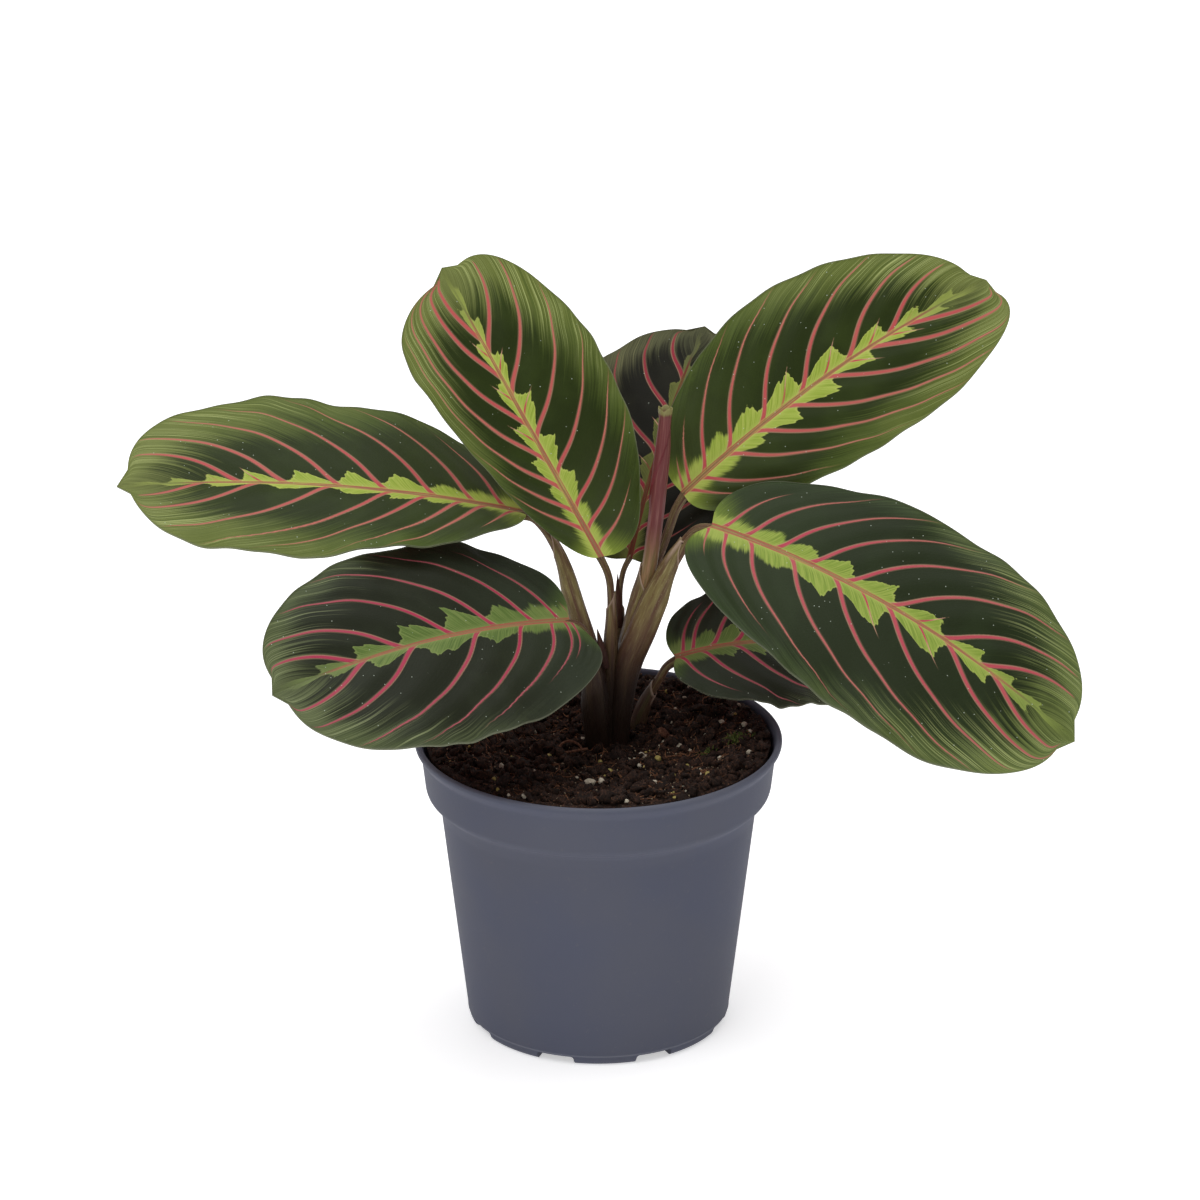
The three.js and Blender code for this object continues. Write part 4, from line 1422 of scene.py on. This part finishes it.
@dataclass(frozen=True)
class Soil:
    """Peat with perlite, yellow beads, sand, fibres and a little moss."""

    level: float = 46.2
    radius: float = 27.9
    bank: float = 2.2
    rings: int = 100
    segments: int = 260
    sides: tuple[tuple[float, float], ...] = (
        (27.05, 44.0), (26.6, 41.0), (24.3, 36.0), (20.2, 3.0), (19.0, 1.5), (6.0, 1.5))
    crumbs: Scatter = Scatter("soil_crumbs", "peat", 2300, (0.14, 0.95), 21, 1, 0.5, 0.3, 2.6)
    perlite: Scatter = Scatter(
        "soil_perlite", "perlite", 80, (0.16, 0.5), 31, 2, 0.3, 0.3, 2.2,
        ((6.9, -3.1, 0.62), (14.7, -0.6, 0.5), (-10.2, 8.2, 0.4), (-1.3, -13.6, 0.8), (0.5, -13.8, 0.46),
         (19.5, -6.0, 0.45), (21.6, -9.4, 0.4), (-15.6, -8.4, 0.45), (9.0, -14.5, 0.4)))
    beads: Scatter = Scatter(
        "soil_beads", "yellow_bead", 34, (0.2, 0.44), 41, 2, 0.07, 0.25, 2.0,
        ((1.8, -7.6, 0.6), (0.3, -3.2, 0.42), (8.4, 1.3, 0.45), (9.6, -3.1, 0.55), (13.5, -5.2, 0.4),
         (-8.0, -14.2, 0.38), (17.5, -12.0, 0.42), (11.8, -11.5, 0.36), (-14.0, -2.0, 0.4)))
    sand: Scatter = Scatter("soil_sand", "sand", 1500, (0.07, 0.19), 51, 0, 0.3, 0.3)
    fibre_count: int = 520
    fibre_seed: int = 61
    moss_tufts: tuple[tuple[float, float, float, int, int], ...] = (
        (22.4, 0.6, 1.3, 150, 71), (17.6, -1.6, 0.9, 70, 72))
    scraps: Scatter = Scatter("soil_scraps", "bark_scrap", 0, (0.5, 0.9), 81, 1, 0.5, 0.2, 2.0,
                              ((10.4, 5.6, 0.8), (11.8, 4.9, 0.55)))

    def build(self, finishes: Finishes) -> None:
        """Makes the soil and what lies in it."""
        def make(form: Form, name: str, finish: str) -> None:
            """Makes one of the soil's pieces."""
            form.build(name, "soil", [finishes.grit[finish]], ["soil"])

        make(self.bed(), "soil_bed", "peat")
        for scatter in (self.crumbs, self.perlite, self.beads, self.sand):
            make(self.grains(scatter), scatter.name, scatter.finish)
        make(self.strands([self.root_path()], 8, 40), "soil_root", "bark_scrap")
        make(self.strands(self.fibre_paths(), 6, 10), "soil_fibres", "brown_fibre")
        make(self.strands(self.moss_paths(), 4, 5), "soil_moss", "moss")
        make(self.grains(self.scraps), self.scraps.name, self.scraps.finish)

    def height(self, x: float, y: float) -> float:
        """The height of the soil's surface at a place."""
        swell = (0.4 * math.sin(0.55 * x + 1.3) * math.cos(0.48 * y - 0.4)
                 + 0.25 * math.sin(1.25 * x - 0.9 * y + 2) + 0.2 * math.cos(1.8 * x + 1.1 * y))
        lumps = noise.fractal(Vector((x * 0.42, y * 0.42, 3.1)), 0.9, 2.0, 5)
        crumbs = noise.fractal(Vector((x * 1.6, y * 1.6, 7.7)), 0.7, 2.0, 4)
        out = float(ease(14.0, 25.5, math.hypot(x, y)))
        return self.level + self.bank * out + (1 - 0.5 * out) * (swell + 0.5 * lumps) + 0.36 * crumbs

    def bed(self) -> Form:
        """The soil's own body, lumpy on top."""
        angles = full_turn(self.segments)
        rows = []
        for r in self.radius * np.linspace(0.004, 1, self.rings):
            places = [(r * math.cos(a), r * math.sin(a)) for a in angles]
            rows.append([(x, y, self.height(x, y)) for x, y in places])
        for r, z in self.sides:
            rows.append([(r * math.cos(a), r * math.sin(a), z) for a in angles])
        form = Form()
        form.add_rings(np.array(rows))
        return form

    def spot(self, rng: np.random.Generator, reach: float = 27.0) -> tuple[float, float]:
        """A random place on the soil, even over its area."""
        angle, r = rng.uniform(0, 2 * math.pi), reach * math.sqrt(rng.uniform())
        return r * math.cos(angle), r * math.sin(angle)

    def grains(self, scatter: Scatter) -> Form:
        """Scatters lumps over the surface."""
        rng = np.random.default_rng(scatter.seed)
        ball, faces = globe(scatter.detail)
        rough, (smallest, largest) = scatter.rough, scatter.sizes
        chosen = list(scatter.places)
        for _ in range(scatter.count):
            chosen.append((*self.spot(rng), smallest + (largest - smallest) * rng.uniform() ** scatter.power))
        form = Form()
        for x, y, radius in chosen:
            if scatter.detail < 2:
                bumps = 1 + rough * rng.uniform(-1, 1, len(ball))[:, None]
            else:
                bumps = 1 + rough * np.array([[noise.noise(Vector(p * 1.6 + x))] for p in ball])
            stretch = rng.uniform(1 - rough, 1 + rough, 3)
            turn, _ = np.linalg.qr(rng.normal(size=(3, 3)))
            points = (ball * bumps * stretch * radius) @ turn
            points += (x, y, self.height(x, y) + radius * (1 - 2 * scatter.sink))
            form.add(points, faces)
        return form

    def strands(self, paths: Sequence[Sequence[Station]], sides: int, count: int) -> Form:
        """Thin threads along the given paths, with so many sides and rings each."""
        form = Form()
        for stations in paths:
            path = through(stations, np.linspace(0, 1, count))
            rings, _ = round_stem(path, np.maximum(path[:, 3], 0.02), sides, (0.3, 0.2, 1.0), 1.0)
            form.add_rings(rings)
        return form

    def fibre_paths(self) -> list[list[Station]]:
        """Random bent paths that lie on the surface."""
        rng = np.random.default_rng(self.fibre_seed)
        paths = []
        for _ in range(self.fibre_count):
            x, y = self.spot(rng, 24.5)
            heading, bend = rng.uniform(0, 2 * math.pi), rng.normal(0, 0.5)
            step, radius = rng.uniform(0.5, 1.5), rng.uniform(0.05, 0.12)
            stations = []
            for i in range(5):
                at_end = i in (0, 4)
                lift = 0.1 + 0.5 * rng.uniform() * at_end
                stations.append((x, y, self.height(x, y) + lift, radius * (0.5 if at_end else 1)))
                x, y = x + step * math.cos(heading), y + step * math.sin(heading)
                heading += bend + rng.normal(0, 0.3)
            if max(math.hypot(s[0], s[1]) for s in stations) < 26.6:
                paths.append(stations)
        return paths

    def moss_paths(self) -> list[list[Station]]:
        """Short upright tufts around each patch's centre, by its reach, number of tufts and seed."""
        paths = []
        for centre_x, centre_y, reach, count, seed in self.moss_tufts:
            rng = np.random.default_rng(seed)
            for _ in range(count):
                x, y = centre_x + rng.normal(0, reach), centre_y + rng.normal(0, reach * 0.8)
                if math.hypot(x, y) > 26.2:
                    continue
                lean = rng.normal(0, 0.35, 2)
                tall = rng.uniform(0.35, 0.9)
                z = self.height(x, y) - 0.1
                paths.append([(x, y, z, 0.13), (x + lean[0] * 0.5, y + lean[1] * 0.5, z + tall * 0.6, 0.12),
                              (x + lean[0], y + lean[1], z + tall, 0.03)])
        return paths

    def root_path(self) -> list[Station]:
        """The pale curled root that lies left of the stems."""
        x, y = -4.9, 0.2
        z = self.height(x, y) + 0.7
        return [(x + 2.2 * math.cos(a) + 0.25 * a, y - 0.6 + 1.8 * math.sin(a),
                 z + 0.8 * math.sin(a * 0.9) ** 2, 0.22) for a in np.linspace(0.2, 5.6, 14)]


def globe(detail: int) -> tuple[np.ndarray, np.ndarray]:
    """A ball of even triangles.

    Args:
        detail: 0 for 20 triangles, and four times as many for each step.

    Returns:
        Its points, at a radius of 1, and its triangles.
    """
    golden = (1 + math.sqrt(5)) / 2
    base = [(0, a, b * golden) for a in (-1, 1) for b in (-1, 1)]
    points = unit(np.array([(p[k % 3], p[(k + 1) % 3], p[(k + 2) % 3]) for k in range(3) for p in base]))
    gap = min(np.linalg.norm(points[0] - p) for p in points[1:]) * 1.01
    near = np.linalg.norm(points[:, None] - points[None], axis=2) < gap
    faces = []
    for a, b, c in ((a, b, c) for a in range(12) for b in range(a + 1, 12) for c in range(b + 1, 12)):
        if near[a, b] and near[b, c] and near[a, c]:
            outward = np.cross(points[b] - points[a], points[c] - points[a]) @ points[a] > 0
            faces.append((a, b, c) if outward else (c, b, a))
    for _ in range(detail):
        known: dict[tuple[int, int], int] = {}
        rows = list(points)
        finer = []
        for a, b, c in faces:
            middle = []
            for pair in ((a, b), (b, c), (c, a)):
                key = (min(pair), max(pair))
                if key not in known:
                    known[key] = len(rows)
                    rows.append(unit(rows[pair[0]] + rows[pair[1]]))
                middle.append(known[key])
            ab, bc, ca = middle
            finer += [(a, ab, ca), (b, bc, ab), (c, ca, bc), (ab, bc, ca)]
        points, faces = np.array(rows), finer
    return points, np.array(faces)


# The pot


@dataclass(frozen=True)
class Pot:
    """A round nursery pot with a straight band below its rim and slots through its foot."""

    outer: tuple[tuple[float, float], ...] = (
        (20.4, 0.0), (21.1, 0.7), (21.28, 1.55), (21.42, 1.75), (21.36, 1.95), (21.4, 2.2), (25.5, 36.5),
        (26.0, 38.6), (26.9, 39.5), (27.7, 40.0), (28.0, 40.7), (28.7, 46.7), (29.35, 47.5), (29.8, 48.3),
        (29.6, 49.0))
    inner: tuple[tuple[float, float], ...] = (
        (28.9, 49.0), (28.5, 48.2), (27.1, 41.1), (24.6, 36.5), (20.5, 2.8), (19.5, 1.1))
    hub: float = 4.0
    floor: float = 1.1
    segments: int = 216
    slots: int = 8
    slot_width: float = 6.3
    slot_height: float = 1.5
    slot_corner: float = 0.55
    slot_reach: tuple[float, float] = (17.5, 24.0)
    first_slot: float = -109.5
    cut: float = 0.22

    def softened(self, profile: np.ndarray) -> np.ndarray:
        """The profile with each corner cut twice, close to the corner."""
        for cut in (self.cut, self.cut * 0.4):
            rows = [profile[0]]
            for before, here, after in zip(profile, profile[1:], profile[2:]):
                for other in (before, after):
                    gap = np.linalg.norm(other - here)
                    rows.append(here + (other - here) * min(cut, 0.3 * gap) / gap)
            profile = np.array([*rows, profile[-1]])
        return profile

    def shell(self) -> Form:
        """The pot's wall and floor, turned about its axis."""
        profile = self.softened(np.array([(self.hub, 0.0), *self.outer, *self.inner, (self.hub, self.floor)]))
        finer = []
        for a, b in zip(profile, profile[1:]):
            steps = max(1, int(np.linalg.norm(b - a) / 3.0))
            finer += [a + (b - a) * i / steps for i in range(steps)]
        profile = np.array([*finer, profile[-1]])
        angle = full_turn(self.segments)
        form = Form()
        form.add_rings(np.stack([profile[:, :1] * np.cos(angle), profile[:, :1] * np.sin(angle),
                                 np.repeat(profile[:, 1:], self.segments, 1)], -1))
        return form

    def slot_cutter(self) -> Form:
        """The blocks that cut the slots, with rounded upper corners."""
        half, top, corner = self.slot_width / 2, self.slot_height, self.slot_corner
        arc = [(half - corner + corner * math.cos(a), top - corner + corner * math.sin(a))
               for a in np.linspace(0, math.pi / 2, 7)]
        outline = np.array([(half, -1.0), *arc, *[(-x, z) for x, z in arc[::-1]], (-half, -1.0)])
        form = Form()
        for i in range(self.slots):
            turn = math.radians(self.first_slot + 360 / self.slots * i)
            outward = np.array([math.cos(turn), math.sin(turn), 0])
            aside = np.array([-math.sin(turn), math.cos(turn), 0])
            form.add_rings(np.array([[outward * r + aside * x + np.array([0, 0, z]) for x, z in outline]
                                     for r in self.slot_reach]))
        return form

    def build(self, material: bpy.types.Material) -> None:
        """Makes the pot and cuts its slots."""
        pot = self.shell().build("nursery_pot", "pot_plastic", [material], ["pot"])
        cutter = self.slot_cutter().build("slot_cutter", "pot_plastic", [material])
        modifier = pot.modifiers.new("slots", "BOOLEAN")
        modifier.object, modifier.operation, modifier.solver = cutter, "DIFFERENCE", "EXACT"
        cut = bpy.data.meshes.new_from_object(pot.evaluated_get(bpy.context.evaluated_depsgraph_get()))
        pot.modifiers.clear()
        pot.data = cut
        bpy.data.objects.remove(cutter)
        cut.polygons.foreach_set("use_smooth", np.ones(len(cut.polygons), bool))
        cut.set_sharp_from_angle(angle=math.radians(35))
        LOG.info("nursery_pot with its slots: %d faces", len(cut.polygons))


# The studio


@dataclass(frozen=True)
class Lamp:
    """A soft square light that faces the plant, in metres and watts."""

    name: str
    place: Point
    size: float
    power: float
    aim: Point = (0, 0, 0.06)

    def build(self) -> None:
        """Makes the light."""
        data = bpy.data.lights.new(self.name, "AREA")
        data.size, data.energy = self.size, self.power
        light = bpy.data.objects.new(self.name, data)
        light.location = self.place
        toward = Vector(self.aim) - Vector(self.place)
        light.rotation_euler = toward.to_track_quat("-Z", "Y").to_euler()
        bpy.context.scene.collection.objects.link(light)


@dataclass(frozen=True)
class Studio:
    """A white sweep, soft lights and the camera that the plant is seen with, in metres."""

    lamps: tuple[Lamp, ...] = (
        Lamp("key", (-0.45, -0.6, 1.1), 0.9, 5.3),
        Lamp("fill", (0.9, -0.8, 0.75), 0.9, 0.2),
        Lamp("top", (0.1, 0.25, 1.3), 1.2, 9.5))
    camera_place: Point = (0.00025, -1.0540, 0.5007)
    camera_tilt: float = 67.9
    lens: float = 212.67
    sensor: float = 36.0
    floor_half: float = 4.0
    sky_light: float = 0.36
    sky_seen: float = 0.95

    def build(self) -> None:
        """Makes the floor, the lights, the sky and the camera."""
        self.add_floor()
        for lamp in self.lamps:
            lamp.build()
        self.add_sky()
        self.add_camera()
        bpy.context.scene.view_settings.view_transform = "Standard"
        LOG.info("studio: floor, %d lamps, sky and camera", len(self.lamps))

    def add_floor(self) -> None:
        """Makes the white floor."""
        half = self.floor_half
        corners = [(-half, -half, 0), (half, -half, 0), (half, half, 0), (-half, half, 0)]
        mesh = bpy.data.meshes.new("floor")
        mesh.from_pydata(corners, [], [(0, 1, 2, 3)])
        mesh.materials.append(BackdropFinish().material())
        floor = bpy.data.objects.new("floor", mesh)
        bpy.context.scene.collection.objects.link(floor)

    def add_sky(self) -> None:
        """Makes a white sky that lights the plant less than it shows behind it."""
        world = bpy.data.worlds.new("studio_white")
        world.use_nodes = True
        nodes, links = world.node_tree.nodes, world.node_tree.links
        seen, light = nodes.new("ShaderNodeBackground"), nodes["Background"]
        for background, strength in ((light, self.sky_light), (seen, self.sky_seen)):
            background.inputs["Color"].default_value = (1, 1, 1, 1)
            background.inputs["Strength"].default_value = strength
        mix, path = nodes.new("ShaderNodeMixShader"), nodes.new("ShaderNodeLightPath")
        links.new(path.outputs["Is Camera Ray"], mix.inputs[0])
        links.new(light.outputs[0], mix.inputs[1])
        links.new(seen.outputs[0], mix.inputs[2])
        links.new(mix.outputs[0], nodes["World Output"].inputs[0])
        bpy.context.scene.world = world

    def add_camera(self) -> None:
        """Makes the camera."""
        camera = bpy.data.objects.new("camera", bpy.data.cameras.new("camera"))
        camera.location = self.camera_place
        camera.rotation_euler = (math.radians(self.camera_tilt), 0, 0)
        camera.data.lens = self.lens
        camera.data.sensor_width = self.sensor
        camera.data.clip_start, camera.data.clip_end = 0.01, 50.0
        bpy.context.scene.collection.objects.link(camera)
        bpy.context.scene.camera = camera


# The plant itself


LEAVES = (
    Leaf("leaf_left", PaintedLight.BRIGHT, seed=1, base=(-11.5, 2.5, 87), tip=(-74.5, -4, 94),
         facing=(0, -0.39, 0.92), arch=3, bow=0, vee=9, shade=0.71,
         left=BladeHalf(width=16.5, widest=0.58, round_base=1.2, round_tip=2.6, droop=2.5, back=0,
                        spread=1.40, starts=(0.049, 0.124, 0.184, 0.277, 0.369, 0.525, 0.711, 0.855),
                        lobes=0.58),
         right=BladeHalf(width=18.5, widest=0.56, round_base=1.8, round_tip=2.8, back=1, ahead=1, phase=1.5,
                         spread=1.50, starts=(0.077, 0.157, 0.258, 0.383, 0.501, 0.638, 0.755), lobes=0.72),
         stalk_radius=0.7, stalk=((-5.7, 1.2, 78.3), (-7.2, 1.2, 82), (-8.8, 1.5, 84.6), (-10.3, 2, 86))),
    Leaf("leaf_upper_left", PaintedLight.BRIGHT, seed=2, base=(0.5, -1, 80.5), tip=(-24, 11, 123.5),
         facing=(0.1, -0.85, 0.45), arch=3, bow=-0.5, vee=8, shade=0.8,
         left=BladeHalf(width=12.4, widest=0.77, round_base=1.1, round_tip=2.8, back=-1, spread=1.24,
                        starts=(0.121, 0.190, 0.279, 0.386, 0.516, 0.687, 0.828), lobes=0.62),
         right=BladeHalf(width=16, widest=0.52, round_base=2, round_tip=2.6, droop=2.5, ahead=3, phase=1.5,
                         spread=1.55, starts=(0.051, 0.121, 0.202, 0.324, 0.458, 0.620, 0.773), lobes=0.72),
         stalk_radius=0.6, stalk=((2, 2.4, 69), (2, 2.1, 72.5), (1.6, 1, 76.5))),
    Leaf("leaf_back", PaintedLight.DEEP_SHADE, seed=3, base=(5, 9, 76.5), tip=(17, 46, 101.5), facing=(-0.1, -0.4, 0.9),
         arch=3, bow=0, vee=6, shade=0.85,
         left=BladeHalf(width=17, widest=0.52, round_base=2, round_tip=2.6, spread=1.35,
                        starts=(0.06, 0.16, 0.29, 0.44, 0.62, 0.8), lobes=0.6),
         right=BladeHalf(width=16, widest=0.52, round_base=2, round_tip=2.5, spread=1.35,
                         starts=(0.04, 0.13, 0.25, 0.4, 0.56, 0.74), lobes=0.6),
         stalk_radius=0.45, stalk=((3.5, 6.2, 68.5), (3.5, 6.6, 72), (4, 7.6, 74.6))),
    Leaf("leaf_upper_right", PaintedLight.BRIGHT, seed=4, base=(13.5, 6.5, 88.5), tip=(60.5, 19, 119.5),
         facing=(-0.2, -0.92, 0.35), arch=2.5, bow=-1.8, vee=6, shade=0.78,
         left=BladeHalf(width=17, widest=0.5, round_base=1.9, round_tip=1.5, back=0.5, spread=1.46,
                        starts=(0.015, 0.040, 0.103, 0.196, 0.316, 0.454, 0.614, 0.753), lobes=1.0),
         right=BladeHalf(width=14.5, widest=0.6, round_base=1.9, round_tip=3, back=1, ahead=5, phase=1.5,
                         spread=1.28, starts=(0.035, 0.085, 0.189, 0.289, 0.402, 0.540, 0.692, 0.823),
                         lobes=0.78),
         stalk_radius=0.75, stalk=((8.6, 5, 75.5), (10, 5.2, 79), (11.4, 5.7, 83), (12.5, 6.4, 86))),
    Leaf("leaf_right", PaintedLight.FULL, seed=5, base=(18, -2, 86.5), tip=(73.5, -28, 61.5),
         facing=(0.2, -0.75, 0.6), arch=4, bow=-2, vee=4, shade=1.0,
         left=BladeHalf(width=17.2, widest=0.5, round_base=2, round_tip=2.6, spread=1.60,
                        starts=(0.046, 0.106, 0.190, 0.281, 0.385, 0.509, 0.659, 0.773), lobes=0.82),
         right=BladeHalf(width=19.5, widest=0.6, round_base=2, round_tip=2.6, back=5, ahead=2, phase=1.5,
                         spread=1.25, starts=(0.012, 0.057, 0.125, 0.235, 0.355, 0.504, 0.676, 0.815),
                         lobes=1.08),
         stalk_radius=0.95, stalk=((11.2, 1.2, 77), (12.6, 0.8, 80), (14.2, 0.2, 83), (16, -0.6, 85))),
    Leaf("leaf_small_right", PaintedLight.SHADED, seed=6, base=(12.5, 6, 60.5), tip=(43.5, 15, 57),
         facing=(0.1, -0.5, 0.85), arch=2, bow=-1.5, vee=6, shade=1.1,
         left=BladeHalf(width=12.5, widest=0.52, round_base=2, round_tip=2.5, droop=1, back=1.5, spread=1.45,
                        starts=(0.057, 0.108, 0.227, 0.35, 0.48, 0.62, 0.76), lobes=0.95),
         right=BladeHalf(width=13.5, widest=0.52, round_base=2, round_tip=2.5, droop=1, back=3, phase=1.5,
                         spread=1.35, starts=(0.057, 0.170, 0.339, 0.47, 0.61, 0.75), lobes=0.8),
         stalk_radius=0.7, stalk=((8.7, 8, 53.5), (10, 7.3, 56.2), (11.2, 6.8, 58.4))),
    Leaf("leaf_lower_left", PaintedLight.SHADED, seed=7, base=(-4.5, -4, 71), tip=(-49, -38, 73),
         facing=(-0.2, -0.75, 0.6), arch=3, bow=1, vee=6, shade=1.05,
         left=BladeHalf(width=18.5, widest=0.5, round_base=2.5, round_tip=2.5, back=5, ahead=2, spread=1.20,
                        starts=(0.012, 0.037, 0.094, 0.207, 0.367, 0.595, 0.767), lobes=0.8),
         right=BladeHalf(width=17.3, widest=0.5, round_base=2.4, round_tip=2.8, back=1, ahead=2, phase=1.5,
                         spread=1.35, starts=(0.001, 0.058, 0.161, 0.300, 0.456, 0.635, 0.793), lobes=1.0),
         stalk_radius=0.85,
         stalk=((-1.4, -0.9, 60.5), (-1.6, -1.3, 64), (-2.2, -2, 67.2), (-3.2, -2.9, 69.2))),
)

SHOOT = Shoot(
    sheaths=(
        Sheath("left", ((-8.3, 1.4, 83.8, 1.0), (-6.9, 1.2, 81.4, 1.2), (-5.5, 1.2, 77.5, 1.45),
                        (-3.5, 1.4, 70.5, 1.6), (-1.5, 1.8, 63.5, 1.65), (0, 2.6, 56, 1.7),
                        (0.6, 3.4, 45, 1.8)),
               point_turn=0.2, stalk_radius=0.7, seam_turn=0.16),
        Sheath("upper_left", ((2, 2.1, 73.2, 1.0), (2, 2.5, 66.5, 1.2), (2, 3, 59.5, 1.25),
                              (2, 3.8, 45, 1.4)),
               point_turn=0.2, stalk_radius=0.6, slant=3.0, over=1.2, seam_turn=0.1),
        Sheath("back", ((3.5, 6.5, 71.6, 0.9), (3.6, 6, 66.5, 1.1), (3.6, 5.2, 60, 1.1), (2.8, 4.6, 45, 1.2)),
               point_turn=0.8, stalk_radius=0.45, slant=3.0, over=1.2),
        Sheath("upper_right", ((9.7, 5.1, 78.5, 1.3), (8.2, 4.9, 74.5, 1.6), (6.4, 4.7, 69, 1.7),
                               (4.6, 4.8, 62, 1.7), (2.8, 4.8, 45, 1.6)),
               point_turn=0.84, stalk_radius=0.75, over=2.4, seam_turn=0.9),
        Sheath("right", ((14.0, 0.3, 82.8, 1.35), (12.6, 0.8, 80.4, 1.6), (11.2, 1.2, 77, 1.85),
                         (9, 1.5, 72, 2.2), (7, 2, 66.5, 2.3), (5, 2.6, 61, 2.2), (3.8, 3.2, 54, 1.9),
                         (3, 4, 45, 1.8)),
               point_turn=0.82, stalk_radius=0.95, slant=5.5, over=2.0, seam_turn=0.86),
        Sheath("roll", ((8, 2.6, 77.5, 1.5), (7.2, 3.2, 73, 1.8), (5.8, 3.6, 67, 1.8), (4.2, 4, 59, 1.7),
                        (2.6, 4.2, 45, 1.6)),
               point_turn=0.7, stalk_radius=1.15, slant=5.0, over=1.2, seam_turn=0.1),
        Sheath("lower_left", ((-1.5, -1, 64.6, 1.4), (-1.5, -0.8, 61.5, 1.9), (-0.9, 0.5, 55, 2.0),
                              (0.1, 2.6, 45, 2.0)),
               point_turn=0.22, stalk_radius=0.85, slant=4.0, seam_turn=0.18),
    ),
    bracts=(
        Bract(((1.3, 0.9, 60.5, 0.5), (0.8, 0.7, 62.6, 0.7), (0.3, 0.8, 65.0, 0.5), (-0.2, 1.1, 67.2, 0.08))),
        Bract(((3.4, 5.0, 66.0, 0.6), (3.2, 4.6, 69.5, 0.6), (3.1, 4.8, 72.6, 0.35), (3.1, 5.0, 75.2, 0.05))),
    ),
)

SIDE_SHEATH = Sheath("side", ((9.6, 7.5, 55.4, 1.0), (8.5, 8.1, 53, 1.3), (7, 9, 49, 1.35),
                              (5.8, 9.5, 44, 1.4), (5.2, 9.7, 39, 1.2)),
                     point_turn=0.7, stalk_radius=0.7, slant=2.5, over=0.9, rings=48)

ROLLED_LEAF = RolledLeaf(((6.9, 3.3, 71.5, 1.0), (8, 2.6, 77, 1.15), (8.9, 1.9, 84, 1.25),
                          (9.6, 1.5, 91, 1.3), (10.4, 2, 99, 1.2), (10.6, 2.4, 103.2, 0.95),
                          (10.6, 2.5, 104.4, 0.9)))


def main() -> None:
    """Builds the studio and then the plant from the ground up."""
    logging.basicConfig(level=logging.INFO, format="%(name)s: %(message)s")
    Studio().build()
    finishes = Finishes()
    Pot().build(finishes.pot)
    Soil().build(finishes)
    SHOOT.build(finishes)
    side = Form(("stem",))
    SIDE_SHEATH.add_to(side)
    side.build("side_sheath", "stem", [finishes.side_sheath], ["leaf_small_right"])
    ROLLED_LEAF.build(finishes.roll)
    uppers = {tone: tone.value.material() for tone in PaintedLight}
    for leaf in LEAVES:
        leaf.build(finishes, uppers[leaf.tone])


if __name__ == "__main__":
    main()
